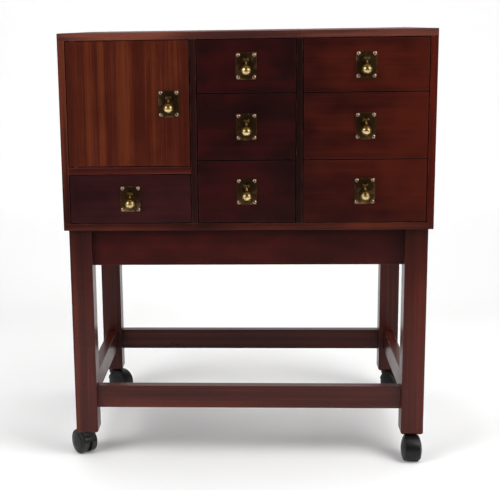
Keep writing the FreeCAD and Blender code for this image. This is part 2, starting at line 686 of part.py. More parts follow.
def caster_hood():
    """Fender over both wheels, boss under the leg and web between the wheels, with the stem."""
    web_half = HOOD_WEB_THICKNESS / 2
    boss = rod(V(0, 0, HOOD_TOP - HOOD_BOSS_HEIGHT), Z_AXIS, HOOD_BOSS_RADIUS, HOOD_BOSS_HEIGHT)
    hood = fender_sector(FENDER_WIDTH / 2, FENDER_RADIUS).fuse([boss, axle_rod(web_half, HOOD_WEB_RADIUS)])
    space_width = WHEEL_OUTER - web_half
    spaces = []
    for side in (-1, 1):
        start = V(CASTER_TRAIL, side * web_half, WHEEL_RADIUS)
        spaces.append(rod(start, Y_AXIS * side, FENDER_INNER_RADIUS, space_width))
    stem_start = V(0, 0, HOOD_TOP - STEM_IN_BOSS)
    stem_hole = rod(stem_start, Z_AXIS, STEM_RADIUS + PRESS_CLEARANCE, STEM_IN_BOSS)
    bore = axle_rod(web_half, AXLE_RADIUS + RUNNING_CLEARANCE)
    hood = hood.cut(spaces + [stem_hole, bore]).removeSplitter()
    stem_top = LEG_FOOT + SOCKET_LENGTH - SEAT_CLEARANCE
    return [hood, rod(stem_start, Z_AXIS, STEM_RADIUS, stem_top - stem_start.z)]


def wheel():
    """One wheel turned about the Y axis, with a flat tread and a domed outer face."""
    def point(radius, width):
        return V(radius, width, 0)

    dome_edge = WHEEL_RADIUS - WHEEL_SHOULDER_ROUND
    dome_radius = (dome_edge ** 2 + WHEEL_CROWN ** 2) / (2 * WHEEL_CROWN)

    def on_dome(radius):
        return point(radius, WHEEL_OUTER - dome_radius + math.sqrt(dome_radius ** 2 - radius ** 2))

    def rounded(corner, toward_axis, toward_middle):
        """Arc that rounds the corner between a side face and the tread."""
        face, tread = corner + toward_axis, corner + toward_middle
        middle = corner + (toward_axis + toward_middle) * (1 - DIAGONAL)
        return face, middle, tread

    corner_in = rounded(point(WHEEL_RADIUS, WHEEL_INNER),
                        point(-WHEEL_INNER_ROUND, 0), point(0, WHEEL_INNER_ROUND))
    corner_out = rounded(point(WHEEL_RADIUS, WHEEL_RIM),
                         point(-WHEEL_SHOULDER_ROUND, 0), point(0, -WHEEL_SHOULDER_ROUND))
    hub_rim = on_dome(WHEEL_HUB_RADIUS)
    hub_floor = hub_rim - point(0, WHEEL_HUB_RECESS)
    axis_in, axis_out = point(0, WHEEL_INNER), point(0, hub_floor.y)
    return turned([
        line(axis_in, corner_in[0]),
        arc(*corner_in),
        line(corner_in[-1], corner_out[-1]),
        arc(*reversed(corner_out)),
        arc(corner_out[0], on_dome((dome_edge + WHEEL_HUB_RADIUS) / 2), hub_rim),
        line(hub_rim, hub_floor),
        line(hub_floor, axis_out),
        line(axis_out, axis_in),
    ], Y_AXIS)


def caster_wheels():
    """Two wheels pressed on one axle."""
    axle_half = WHEEL_INNER + AXLE_IN_WHEEL
    bore = axle_rod(axle_half + PRESS_CLEARANCE, AXLE_RADIUS + PRESS_CLEARANCE)
    pieces = [axle_rod(axle_half, AXLE_RADIUS)]
    for turn in (0.0, 2 * QUARTER_TURN):
        one = wheel()
        one.rotate(ORIGIN, Z_AXIS, turn)
        one.translate(V(CASTER_TRAIL, 0, WHEEL_RADIUS))
        pieces.append(one.cut(bore))
    return pieces


def under_leg(pieces, corner):
    """Caster pieces turned to their resting direction and set under a leg."""
    x, y = LEG_PLACES[corner]
    for piece in pieces:
        piece.rotate(ORIGIN, Z_AXIS, CASTER_ANGLES[corner])
        piece.translate(V(x, y, 0))
    return pieces


# All nodes: each name with its solids

def case_nodes():
    left_side = case_side(CASE_LEFT, LEFT_INNER, CASE_LEFT).cut(shelf_tongues(GLUE_CLEARANCE))
    left_divider = divider(LEFT_DIVIDER, MIDDLE_INNER)
    left_divider = left_divider.cut(shelf_tongues(GLUE_CLEARANCE) + [catch_body(PRESS_CLEARANCE)])
    return {
        "case_top": [case_top()],
        "case_bottom": [case_bottom()],
        "case_left_side": [left_side],
        "case_right_side": [case_side(RIGHT_SIDE, CASE_RIGHT, CASE_RIGHT)],
        "case_back": [back_panel(GLUE_CLEARANCE)],
        "left_divider": [left_divider],
        "right_divider": [divider(RIGHT_DIVIDER, RIGHT_INNER)],
        "compartment_shelf": [compartment_shelf()],
        "drawer_runners": [runner(drawer, on_left) for drawer in DRAWERS for on_left in (True, False)],
        "door_pivot_pins": pivot_pins(0.0),
        "door_catch": door_catch(),
    }


def stand_nodes():
    long_aprons, side_aprons = ring_rails(APRON_BOTTOM, APRON_HEIGHT)
    long_stretchers, side_stretchers = ring_rails(STRETCHER_BOTTOM, STRETCHER_HEIGHT)
    nodes = {
        "long_aprons": [apron.cut(stand_screws(PRESS_CLEARANCE)) for apron in long_aprons],
        "side_aprons": side_aprons,
        "long_stretchers": long_stretchers,
        "side_stretchers": side_stretchers,
        "stand_screws": stand_screws(0.0),
        "caster_sockets": [caster_socket(x, y) for x, y in LEG_PLACES.values()],
    }
    for corner, (x, y) in LEG_PLACES.items():
        nodes[f"{corner}_leg"] = [leg(x, y)]
        nodes[f"{corner}_caster_hood"] = under_leg(caster_hood(), corner)
        nodes[f"{corner}_caster_wheels"] = under_leg(caster_wheels(), corner)
    return nodes


def front_nodes():
    nodes = {
        "door_panel": [door_panel()],
        "door_pull_plate": pull_plate(DOOR_PULL_X, DOOR_MIDDLE),
        "door_pull_drop": [pull_drop(DOOR_PULL_X, DOOR_MIDDLE)],
    }
    for drawer in DRAWERS:
        middle = drawer_middle(drawer)
        nodes[f"{drawer.name}_front"] = [drawer_front(drawer)]
        nodes[f"{drawer.name}_box"] = drawer_box(drawer)
        nodes[f"{drawer.name}_pull_plate"] = pull_plate(*middle)
        nodes[f"{drawer.name}_pull_drop"] = [pull_drop(*middle)]
    return nodes


def main():
    os.makedirs("parts", exist_ok=True)
    nodes = {**case_nodes(), **stand_nodes(), **front_nodes()}
    for name, solids in nodes.items():
        shape = solids[0] if len(solids) == 1 else Part.makeCompound(solids)
        shape.exportStep(f"parts/{name}.step")
    pieces = sum(len(solids) for solids in nodes.values())
    print(f"{len(nodes)} nodes, {pieces} pieces, case {CASE_WIDTH} wide, {CASE_TOP} high")


if __name__ == "__main__":
    main()
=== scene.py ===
# %% [markdown]
# # A mahogany cabinet on a stand
# The real piece is a mahogany case with one door and seven drawers. It stands on an open frame of
# square legs and rails that rolls on four black casters, and each front has a brass drop pull.
# The boards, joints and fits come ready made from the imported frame, at their real size, so this
# lesson is about looks: wood figure, lacquer, old brass and moulded plastic.

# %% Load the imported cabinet
import json
import math

import bmesh
import bpy
from mathutils import Matrix, Vector


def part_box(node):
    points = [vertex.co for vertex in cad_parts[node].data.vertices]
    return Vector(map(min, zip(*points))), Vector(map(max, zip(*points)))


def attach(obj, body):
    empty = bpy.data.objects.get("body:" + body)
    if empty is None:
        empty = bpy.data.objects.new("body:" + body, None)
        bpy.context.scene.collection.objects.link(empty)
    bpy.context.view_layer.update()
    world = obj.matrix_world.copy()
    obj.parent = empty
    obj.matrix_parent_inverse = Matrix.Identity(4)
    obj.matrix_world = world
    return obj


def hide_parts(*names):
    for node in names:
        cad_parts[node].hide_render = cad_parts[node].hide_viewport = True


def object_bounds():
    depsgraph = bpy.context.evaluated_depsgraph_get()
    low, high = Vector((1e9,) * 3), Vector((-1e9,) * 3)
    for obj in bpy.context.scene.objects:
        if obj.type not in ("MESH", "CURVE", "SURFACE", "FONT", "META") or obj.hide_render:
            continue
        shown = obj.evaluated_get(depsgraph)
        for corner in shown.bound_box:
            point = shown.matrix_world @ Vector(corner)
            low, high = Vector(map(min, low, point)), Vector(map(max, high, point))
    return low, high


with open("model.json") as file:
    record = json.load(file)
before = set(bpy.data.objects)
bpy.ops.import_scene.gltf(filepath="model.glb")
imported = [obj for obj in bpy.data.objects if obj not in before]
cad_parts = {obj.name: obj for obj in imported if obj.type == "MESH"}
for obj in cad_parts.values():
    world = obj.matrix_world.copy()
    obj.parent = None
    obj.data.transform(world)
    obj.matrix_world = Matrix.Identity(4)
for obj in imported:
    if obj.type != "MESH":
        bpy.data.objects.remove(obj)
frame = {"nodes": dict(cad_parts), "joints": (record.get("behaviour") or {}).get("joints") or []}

MM = 0.001
scene = bpy.context.scene
cad_low, cad_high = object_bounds()
cad_size = (cad_high - cad_low) / MM
print(f"{len(frame['nodes'])} nodes, {cad_size.x:.1f} x {cad_size.y:.1f} x {cad_size.z:.1f} mm")

# %% [markdown]
# ## Camera
# A picture is matched by finding where its camera stood. The corners of the case, the fronts and the
# stand were lined up with the model's own corners until the two agreed to about a pixel. The picture
# is a crop of a wider one, so the lens axis lies left of its middle, and the camera's shift carries
# that. Turning the camera instead would make the upright edges lean.

# %% Place the camera
PICTURE_WIDTH, PICTURE_HEIGHT = 500, 490
LENS_PIXELS = 1100
LENS_AXIS_PIXEL = (195.65, 245.1)
EYE = Vector((23.8, -2482.8, 924.2)) * MM
TURN, TILT, LEAN = 0.0583, 0.1977, -0.0152
QUARTER = math.pi / 2

lens = bpy.data.cameras.new("picture_camera")
lens.lens = LENS_PIXELS * lens.sensor_width / PICTURE_WIDTH
lens.shift_x = (PICTURE_WIDTH / 2 - LENS_AXIS_PIXEL[0]) / PICTURE_WIDTH
lens.shift_y = (LENS_AXIS_PIXEL[1] - PICTURE_HEIGHT / 2) / PICTURE_WIDTH
camera = bpy.data.objects.new("picture_camera", lens)
aimed = Matrix.Rotation(TURN, 4, "Z") @ Matrix.Rotation(QUARTER - TILT, 4, "X")
camera.matrix_world = Matrix.Translation(EYE) @ aimed @ Matrix.Rotation(LEAN, 4, "Z")
scene.collection.objects.link(camera)
scene.camera = camera
scene.view_settings.view_transform = "Standard"
print(f"lens {lens.lens:.1f} mm, {(EYE - (cad_low + cad_high) / 2).length:.2f} m from the cabinet")

# %% [markdown]
# ## Helpers for shaders
# Colours are easiest to write as the hex values that a screen shows, but shaders add and multiply
# light, so one function turns hex into linear light. Another adds any node with its settings and its
# links, so that each material below reads as a list of what it is made of. Most materials end alike:
# a colour, a roughness and a relief go into the shader.

# %% Define the colour and node helpers
BLACK, WHITE = (0.0, 0.0, 0.0, 1.0), (1.0, 1.0, 1.0, 1.0)
# Inputs of a Mix node: its two vectors and its two colours.
MIX_VECTOR_A, MIX_VECTOR_B, MIX_A, MIX_B = 4, 5, 6, 7


def linear(colour):
    """Linear RGBA of an sRGB hex colour."""
    channels = [int(colour[i:i + 2], 16) / 255 for i in (1, 3, 5)]
    return [c / 12.92 if c <= 0.04045 else ((c + 0.055) / 1.055) ** 2.4 for c in channels] + [1.0]


def output_of(node):
    """First live output of a node."""
    return next(socket for socket in node.outputs if socket.enabled)


def add_node(tree, kind, inputs=None, stops=(), **settings):
    """Adds a shader node. An input is a value, a socket, or a node whose first live output is linked."""
    node = tree.nodes.new("ShaderNode" + kind)
    for name, value in settings.items():
        setattr(node, name, value)
    for key, value in (inputs or {}).items():
        if isinstance(value, bpy.types.Node):
            value = output_of(value)
        if isinstance(value, bpy.types.NodeSocket):
            tree.links.new(value, node.inputs[key])
        else:
            node.inputs[key].default_value = value
    for index, (place, colour) in enumerate(stops):
        elements = node.color_ramp.elements
        element = elements[index] if index < len(elements) else elements.new(1.0)
        element.position, element.color = place, colour
    return node


def new_material(name):
    """A new material, its node tree and the places on the object it covers."""
    material = bpy.data.materials.new(name)
    material.use_nodes = True
    tree = material.node_tree
    return material, tree, add_node(tree, "TexCoord").outputs["Object"]


def set_surface(tree, colour, roughness, relief, **values):
    """Links three nodes to the shader of a material, and sets plain values on it."""
    sockets = tree.nodes["Principled BSDF"].inputs
    for name, node in {"Base Color": colour, "Roughness": roughness, "Normal": relief}.items():
        tree.links.new(output_of(node), sockets[name])
    for name, value in values.items():
        sockets[name].default_value = value


print("mid grey #808080 is", round(linear("#808080")[0], 3), "in linear light")

# %% [markdown]
# ## Floor and backdrop
# A studio sweep is a floor that curves up into a wall, so that no corner shows behind the piece. Two
# edges pulled sideways make it, and a bevel with many segments makes the curve. The floor stops not
# far in front of the cabinet. Beyond it the room is dark, and that dark is what the lacquered fronts
# and the flat brass plates mirror, while the feet of the legs mirror the pale floor.

# %% Make the sweep
FLOOR_FRONT, FLOOR_REAR = -1.7, 4.6
WALL_HEIGHT = 3.4
SWEEP_HALF_WIDTH = 4.5
SWEEP_RADIUS = 1.2
SWEEP_STEPS = 20


def round_edges(shape, edges, radius, segments=3):
    """Rounds edges of a shape, by a radius in metres."""
    bmesh.ops.bevel(shape, geom=edges, offset=radius, segments=segments, profile=0.5,
                    affect="EDGES", material=-1)


def corners_of(made):
    """Vertices among the parts that an extrusion made."""
    return [part for part in made["geom"] if isinstance(part, bmesh.types.BMVert)]


sweep = bmesh.new()
outline = ((FLOOR_FRONT, 0.0), (FLOOR_REAR, 0.0), (FLOOR_REAR, WALL_HEIGHT))
points = [sweep.verts.new((-SWEEP_HALF_WIDTH, y, z)) for y, z in outline]
runs = [sweep.edges.new(pair) for pair in zip(points, points[1:])]
far_side = corners_of(bmesh.ops.extrude_edge_only(sweep, edges=runs))
bmesh.ops.translate(sweep, verts=far_side, vec=(2 * SWEEP_HALF_WIDTH, 0, 0))
fold = [edge for edge in sweep.edges if len(edge.link_faces) == 2]
round_edges(sweep, fold, SWEEP_RADIUS, SWEEP_STEPS)
sweep_mesh = bpy.data.meshes.new("studio_sweep")
sweep.to_mesh(sweep_mesh)
sweep.free()
sweep_mesh.shade_smooth()
studio_sweep = bpy.data.objects.new("studio_sweep", sweep_mesh)
scene.collection.objects.link(studio_sweep)

print(f"sweep with {len(sweep_mesh.polygons)} faces")

# %% [markdown]
# The sweep is matt white paper. The wall stands far off, where the lamps hardly reach, and in a studio
# a lamp of its own would keep it white. Here the paper glows a little with distance instead, but only
# to the eye and in mirror images, so that no light from it falls on the cabinet.

# %% Make the paper
GLOW_FROM, GLOW_TO, GLOW = 1.0, 3.4, 0.47
PAPER = {"Base Color": linear("#fafaf9"), "Roughness": 0.9, "Specular IOR Level": 0.1,
         "Emission Color": WHITE}

sweep_paper, tree, place = new_material("sweep_paper")
depth = add_node(tree, "SeparateXYZ", {"Vector": place}).outputs["Y"]
glow = add_node(tree, "MapRange", {
    "Value": depth, "From Min": GLOW_FROM, "From Max": GLOW_TO, "To Max": GLOW})
ray = add_node(tree, "LightPath").outputs
seen = ray["Is Camera Ray"]
for mirrored in ("Is Glossy Ray", "Is Transmission Ray"):
    seen = add_node(tree, "Math", {0: seen, 1: ray[mirrored]}, operation="MAXIMUM")
strength = add_node(tree, "Math", {0: glow, 1: seen}, operation="MULTIPLY")
paper = tree.nodes["Principled BSDF"]
for name, value in PAPER.items():
    paper.inputs[name].default_value = value
tree.links.new(output_of(strength), paper.inputs["Emission Strength"])
sweep_mesh.materials.append(sweep_paper)
print(f"paper glows up to {GLOW} from {GLOW_FROM} m to {GLOW_TO} m behind the cabinet")

# %% [markdown]
# ## Light
# The world is a pale soft room with one dark side, where the camera stands. Area lamps add the rest:
# two broad ones from the front corners for the fronts, and one overhead for the floor and the tops of
# the rails. They stand where the flat fronts can't mirror them into the lens.

# %% Light the room
ROOM, DARK_SIDE = "#a8a8aa", "#444345"
DARK_SIDE_FROM, DARK_SIDE_TO = 0.35, 0.85

room = bpy.data.worlds.new("studio_room")
scene.world = room
room.use_nodes = True
sky = room.node_tree
looking = add_node(sky, "TexCoord").outputs["Generated"]
forward = add_node(sky, "VectorMath", {0: looking, 1: (0, -1, 0)}, operation="DOT_PRODUCT")
shade = add_node(sky, "ValToRGB", {"Fac": forward}, [
    (DARK_SIDE_FROM, linear(ROOM)), (DARK_SIDE_TO, linear(DARK_SIDE))])
sky.links.new(output_of(shade), sky.nodes["Background"].inputs["Color"])

LAMPS = {
    "left_softbox": dict(place=(-2.0, -1.7, 1.8), aim=(-0.1, 0.0, 0.6), size=(1.4, 1.6), watts=42),
    "right_softbox": dict(place=(1.45, -1.0, 1.6), aim=(0.3, 0.0, 0.7), size=(1.2, 1.4), watts=30),
    "overhead_softbox": dict(place=(0.0, 0.6, 2.9), aim=(0.0, 0.6, 0.0), size=(3.0, 2.4), watts=52),
}
for name, lamp in LAMPS.items():
    light = bpy.data.lights.new(name, "AREA")
    light.shape = "RECTANGLE"
    light.size, light.size_y = lamp["size"]
    light.energy = lamp["watts"]
    stand = bpy.data.objects.new(name, light)
    toward = Vector(lamp["aim"]) - Vector(lamp["place"])
    turned_to = toward.to_track_quat("-Z", "Y").to_matrix().to_4x4()
    stand.matrix_world = Matrix.Translation(lamp["place"]) @ turned_to
    scene.collection.objects.link(stand)
print(f"{len(LAMPS)} lamps, {sum(lamp['watts'] for lamp in LAMPS.values())} W in all")

# %% [markdown]
# ## Mahogany
# Mahogany is red brown, with straight or interlocked grain. Cut on the quarter, interlocked grain
# shows as long ribbons, lighter and darker in turn. Close up, short dark pores run with the grain.
# All of it is drawn out along the board, so each layer is a noise that is stretched along the grain
# and fine across it, from sizes in millimetres. It is solid wood, so the layers fill space and the
# ends of the boards show end grain without more work.

# %% Draw the layers of the wood
# Width across the grain and length along it, in mm, and how much finer detail each layer has. Real
# pores are a fifth of a millimetre wide; here they are three times as wide, so that they show.
WOOD_LAYERS = {
    "streaks": (1.8, 160.0, 3.0),
    "cloud": (70.0, 110.0, 2.0),
    "pores": (0.6, 7.0, 1.0),
    "scuffs": (9.0, 26.0, 4.0),
}
RIBBON_LENGTH, RIBBON_DETAIL = 1600.0, 2.0
FINENESS = 0.55
WANDER, WANDER_WIDTH, WANDER_LENGTH = 10.0, 90.0, 420.0


def grain_scale(along_axis, across, along):
    """Noise scale for figure of a width across and a length along the grain, in millimetres."""
    return [1 / ((along if axis == along_axis else across) * MM) for axis in "XYZ"]


def wood_layers(tree, place, along_axis, ribbon, seed):
    """Places that wander a few millimetres from side to side along a board, and the layers on them."""
    slow = add_node(tree, "Mapping", {
        "Vector": place, "Location": [seed] * 3,
        "Scale": grain_scale(along_axis, WANDER_WIDTH, WANDER_LENGTH)})
    drift = add_node(tree, "TexNoise", {"Vector": slow, "Scale": 1.0, "Detail": 1.0})
    centred = add_node(tree, "VectorMath", {0: drift.outputs["Color"], 1: [0.5] * 3},
                       operation="SUBTRACT")
    grain = add_node(tree, "VectorMath", {0: centred, 1: [WANDER * MM] * 3, 2: place},
                     operation="MULTIPLY_ADD")
    layers = {}
    drawn = {"ribbons": (ribbon, RIBBON_LENGTH, RIBBON_DETAIL), **WOOD_LAYERS}
    for layer, (across, along, detail) in drawn.items():
        drawn_out = add_node(tree, "Mapping", {
            "Vector": grain, "Location": [seed] * 3, "Scale": grain_scale(along_axis, across, along)})
        layers[layer] = add_node(tree, "TexNoise", {
            "Vector": drawn_out, "Scale": 1.0, "Detail": detail, "Roughness": FINENESS})
    return grain, layers


print(f"{len(WOOD_LAYERS) + 1} layers of figure")

# %% [markdown]
# Broad bands, paler or darker than the rest of a board, are listed one by one. They lift or lower the
# figure that the layers add up to, so the streaks run on through them.

# %% Define the bands
BAND_LIFT, BAND_BASE = 0.11, 3.0


def add_bands(tree, figure, grain, bands, axis):
    """Lays bands along an axis over a figure: the middle, half width and strength of each.

    A band is paler, or darker where the strength is negative. No strength is below -BAND_BASE, since
    a colour ramp holds no negative colour.
    """
    low, high = bands[0][0] - bands[0][1], bands[-1][0] + bands[-1][1]
    across = add_node(tree, "SeparateXYZ", {"Vector": grain}).outputs[axis]
    board = add_node(tree, "MapRange", {"Value": across, "From Min": low * MM, "From Max": high * MM})
    stops = []
    for centre, reach, strength in bands:
        for offset, level in ((-reach, 0.0), (0.0, strength), (reach, 0.0)):
            stops.append(((centre + offset - low) / (high - low), [BAND_BASE + level] * 3 + [1.0]))
    banded = add_node(tree, "ValToRGB", {"Fac": board}, stops)
    lower = add_node(tree, "Math", {0: figure, 1: BAND_LIFT * BAND_BASE}, operation="SUBTRACT")
    return add_node(tree, "Math", {0: banded, 1: BAND_LIFT, 2: lower}, operation="MULTIPLY_ADD")


print(f"a band of strength 1 lifts the figure by {BAND_LIFT}")

# %% [markdown]
# Where edges rub, the stain and lacquer wear to paler wood, and round the drawers and the door the edges
# are dark with grime and with painted shade from the joints between them. A Bevel node gives the normal
# of a rounded copy of the shape, and where it leaves the true normal there is an edge. A sprayed lacquer
# gives the soft gloss, a little uneven and duller in the pores and on the marked edges. One function
# makes the wood of every board. Its figure adds up ribbons, streaks and cloudy stain by their shares,
# and shares that come to less than one give a calmer figure about the same middle.

# %% Define the mahogany
SHARES = {"cloud": 0.14, "streaks": 0.24, "ribbons": 0.62}
EDGE_SAMPLES = 6
EDGE_ROUND, EDGE_FULL, EDGE_NONE = 2.5, 0.80, 0.985
DARKEST_AT, DARK_AT, MIDDLE_AT, LIGHT_AT = 0.14, 0.34, 0.50, 0.64
MASKS = {"pores": (0.60, 0.72), "scuffs": (0.50, 0.70)}
PORE_SHARE, WEAR_AND_SHADE = 0.5, 0.7
# The grime colour round the fronts is also painted shade from the joints between them.
PORE_COLOUR, WORN_COLOUR, GRIME_AND_SHADE_COLOUR = "#120504", "#7d4a33", "#0c0404"
CLOUD_DULLS, PORES_DULL, WEAR_DULLS = 0.12, 0.12, 0.25
STREAK_HEIGHT, PORE_HEIGHT = 0.25, -0.6
WOOD_RELIEF = {"Strength": 0.25, "Distance": 0.15 * MM}
LACQUER_IOR = 1.3


def edge_ramp(tree, radius, at_edge, on_flat):
    """Ramp between two stops, over how far a surface is from an edge within a radius in millimetres."""
    rounded = add_node(tree, "Bevel", {"Radius": radius * MM}, samples=EDGE_SAMPLES)
    normal = add_node(tree, "NewGeometry").outputs["Normal"]
    flatness = add_node(tree, "VectorMath", {0: rounded, 1: normal}, operation="DOT_PRODUCT")
    return add_node(tree, "ValToRGB", {"Fac": flatness}, [at_edge, on_flat])


def mahogany(name, along_axis, tones, ribbon=9.0, seed=0.0, shares=SHARES, bands=(), bands_axis="X",
             grime_and_shade=False, dullness=0.24):
    """Lacquered mahogany in a dark, a middle and a light tone; edges go paler with wear, or dark with
    grime and painted shade.
    """
    material, tree, place = new_material(name)
    grain, layers = wood_layers(tree, place, along_axis, ribbon, seed)
    figure = (1 - sum(shares.values())) / 2
    for layer, share in shares.items():
        figure = add_node(tree, "Math", {0: layers[layer], 1: share, 2: figure},
                          operation="MULTIPLY_ADD")
    if bands:
        figure = add_bands(tree, figure, grain, bands, bands_axis)
    dark, middle, light = [linear(tone) for tone in tones.split()]
    darkest = [channel / 2 for channel in dark[:3]] + [1.0]
    colour = add_node(tree, "ValToRGB", {"Fac": figure}, [
        (DARKEST_AT, darkest), (DARK_AT, dark), (MIDDLE_AT, middle), (LIGHT_AT, light)])
    pores, scuffs = [add_node(tree, "ValToRGB", {"Fac": layers[layer]}, [(low, BLACK), (full, WHITE)])
                     for layer, (low, full) in MASKS.items()]
    pore_share = add_node(tree, "Math", {0: pores, 1: PORE_SHARE}, operation="MULTIPLY")
    colour = add_node(tree, "Mix", {0: pore_share, MIX_A: colour, MIX_B: linear(PORE_COLOUR)},
                      data_type="RGBA")

    edge = edge_ramp(tree, EDGE_ROUND, (EDGE_FULL, WHITE), (EDGE_NONE, BLACK))
    # On the fronts the edge mark is grime and painted shade from the joints; elsewhere it is wear.
    rub_and_joint_shade = add_node(tree, "Math", {0: edge, 1: 1.0 if grime_and_shade else scuffs}, operation="MULTIPLY")
    wear_and_joint_shade = add_node(tree, "Math", {0: rub_and_joint_shade, 1: WEAR_AND_SHADE}, operation="MULTIPLY")
    edge_colour = linear(GRIME_AND_SHADE_COLOUR if grime_and_shade else WORN_COLOUR)
    colour = add_node(tree, "Mix", {0: wear_and_joint_shade, MIX_A: colour, MIX_B: edge_colour}, data_type="RGBA")

    for mask, share in ((layers["cloud"], CLOUD_DULLS), (pores, PORES_DULL), (wear_and_joint_shade, WEAR_DULLS)):
        dullness = add_node(tree, "Math", {0: mask, 1: share, 2: dullness}, operation="MULTIPLY_ADD")
    ridges = add_node(tree, "Math", {0: layers["streaks"], 1: STREAK_HEIGHT}, operation="MULTIPLY")
    height = add_node(tree, "Math", {0: pores, 1: PORE_HEIGHT, 2: ridges}, operation="MULTIPLY_ADD")
    relief = add_node(tree, "Bump", {"Height": height, **WOOD_RELIEF})
    set_surface(tree, colour, dullness, relief, IOR=LACQUER_IOR)
    return material


print(f"edges show within {EDGE_ROUND} mm")

# %% [markdown]
# ## Wood for the case
# The case is a plain red brown, with the grain along each board. The dividers between its fronts are the
# darkest, which is painted shade between the fronts. The faces of the top and of the ends that look to
# the front are each a slot of its own. On the front edge of the top, bands of painted light make the
# ends paler and the middle darker; the left edge is darker low down and paler towards the top, and the
# right edge has a redder tone of its own.

# %% Dress the case
FACES_FRONT = -0.9
TOP_WOOD = dict(tones="#331615 #45201b #743c2c", dullness=0.42)
# Painted light on the top's front edge: paler at the ends, darker in the middle.
TOP_EDGE_PAINTED_LIGHT = ((-258, 148, 2.7), (10, 115, -0.9), (310, 160, 0.2))
BOTTOM_BANDS = ((-88, 75, -1.3), (235, 135, 1.2))
LEFT_EDGE = dict(bands=((520, 110, -2.0), (900, 260, 1.5)), bands_axis="Z")


def dress(material, *names):
    """Gives CAD nodes a material."""
    for name in names:
        slots = frame["nodes"][name].data.materials
        slots.clear()
        slots.append(material)


def strip(material, name):
    """Gives the front edge of a CAD node a slot of its own."""
    mesh = frame["nodes"][name].data
    mesh.materials.append(material)
    for face in mesh.polygons:
        face.material_index = int(face.normal.y < FACES_FRONT)


dress(mahogany("top_mahogany", "X", **TOP_WOOD), "case_top")
strip(mahogany("top_edge_mahogany", "X", **TOP_WOOD, bands=TOP_EDGE_PAINTED_LIGHT), "case_top")
dress(mahogany("case_mahogany_across", "X", "#2a0d09 #3e170f #592516", bands=BOTTOM_BANDS),
      "case_bottom")
dress(mahogany("rail_mahogany", "X", "#35120e #4a1b15 #64281e"), "compartment_shelf")
dress(mahogany("case_mahogany_upright", "Z", "#290e0b #391510 #502016"),
      "case_left_side", "case_right_side")
strip(mahogany("left_edge_mahogany", "Z", "#290e0b #391510 #602b1c", **LEFT_EDGE), "case_left_side")
strip(mahogany("right_edge_mahogany", "Z", "#2b0a04 #3a0e06 #501608"), "case_right_side")
# The dividers' darkest tones are painted shade between the fronts.
dress(mahogany("divider_mahogany", "Z", "#160806 #210c0a #32140f"), "left_divider", "right_divider")
print("mahogany on the case, with strips on three front edges")

# %% [markdown]
# ## Wood for the fronts
# The door is the showpiece, with orange ribbons running upright, and its bands are placed from its left
# edge. The drawer under it is purple brown, the middle drawers are darker and the right ones redder, and
# painted light makes the right ones paler towards the right end of the case. All of them have grime and
# painted shade in the joints round them.

# %% Dress the fronts
CLOUDY = {"cloud": 0.60, "streaks": 0.16, "ribbons": 0.24}
CALM = {"cloud": 0.30, "streaks": 0.16, "ribbons": 0.16}
MOTTLED = {"cloud": 0.26, "streaks": 0.34, "ribbons": 0.40}
DOOR_BANDS = ((48, 13, 0.7), (70, 8, 1.1), (86, 8, -0.8), (117, 22, 1.3), (154, 7, -0.3), (175, 12, 1.1),
              (194, 7, -0.4), (212, 8, 0.6), (241, 11, -1.0))
MIDDLE_BANDS = ((-100, 190, 1.0),)
# Painted light: the right drawers grow paler towards the right end of the case.
RIGHT_PAINTED_LIGHT = ((372, 262, 1.2),)
ROWS = ("bottom", "centre", "top")

door_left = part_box("door_panel")[0][0] / MM
door_bands = [(door_left + middle, reach, strength) for middle, reach, strength in DOOR_BANDS]
dress(mahogany("ribbon_mahogany", "Z", "#36120a #44170c #622b15", ribbon=13.0, shares=MOTTLED,
               bands=door_bands, grime_and_shade=True), "door_panel")
dress(mahogany("left_drawer_mahogany", "X", "#23090c #2d0f11 #3b1517", ribbon=7.0, shares=CLOUDY,
               grime_and_shade=True), "left_drawer_front")
dress(mahogany("middle_drawer_mahogany", "X", "#1a0708 #200808 #320a0a", ribbon=12.0, shares=CLOUDY,
               bands=MIDDLE_BANDS, grime_and_shade=True), *[f"middle_{row}_drawer_front" for row in ROWS])
dress(mahogany("right_drawer_mahogany", "X", "#220606 #290907 #471509", ribbon=12.0, shares=CALM,
               seed=3.0, bands=RIGHT_PAINTED_LIGHT, grime_and_shade=True), *[f"right_{row}_drawer_front" for row in ROWS])
print(f"mahogany on the fronts, with {len(DOOR_BANDS)} bands on the door")

# %% [markdown]
# ## Wood for the stand
# The stand is a plain red brown too. Shade is painted into its wood: the tops of the front legs and the
# right part of the long aprons are darker where the case shades them, the rear legs have a darker copy
# of the leg wood, and the rear stretcher is darker than the front one, where less light reaches.

# %% Dress the stand
LEG_WOOD = dict(tones="#351410 #451a14 #5a251b", ribbon=10.0)
# Painted shade: the tops of the front legs are darker, where the case shades them.
LEG_TOP_PAINTED_SHADE = dict(bands=((505, 130, -1.9),), bands_axis="Z")
APRON_WOOD = dict(tones="#290806 #380b08 #4a120c", ribbon=14.0, shares=CLOUDY, seed=7.0)
# Painted shade: the long aprons are darker towards the right, under the case.
APRON_PAINTED_SHADE = ((380, 500, -1.5),)
# Painted shade: the rear stretcher is darker than the front one, where less light reaches.
REAR_STRETCHER_PAINTED_SHADE = ((231, 200, -0.9),)

dress(mahogany("left_leg_mahogany", "Z", **LEG_WOOD, **LEG_TOP_PAINTED_SHADE), "front_left_leg")
dress(mahogany("right_leg_mahogany", "Z", "#33100a #43150d #581f13", ribbon=10.0, **LEG_TOP_PAINTED_SHADE),
      "front_right_leg")
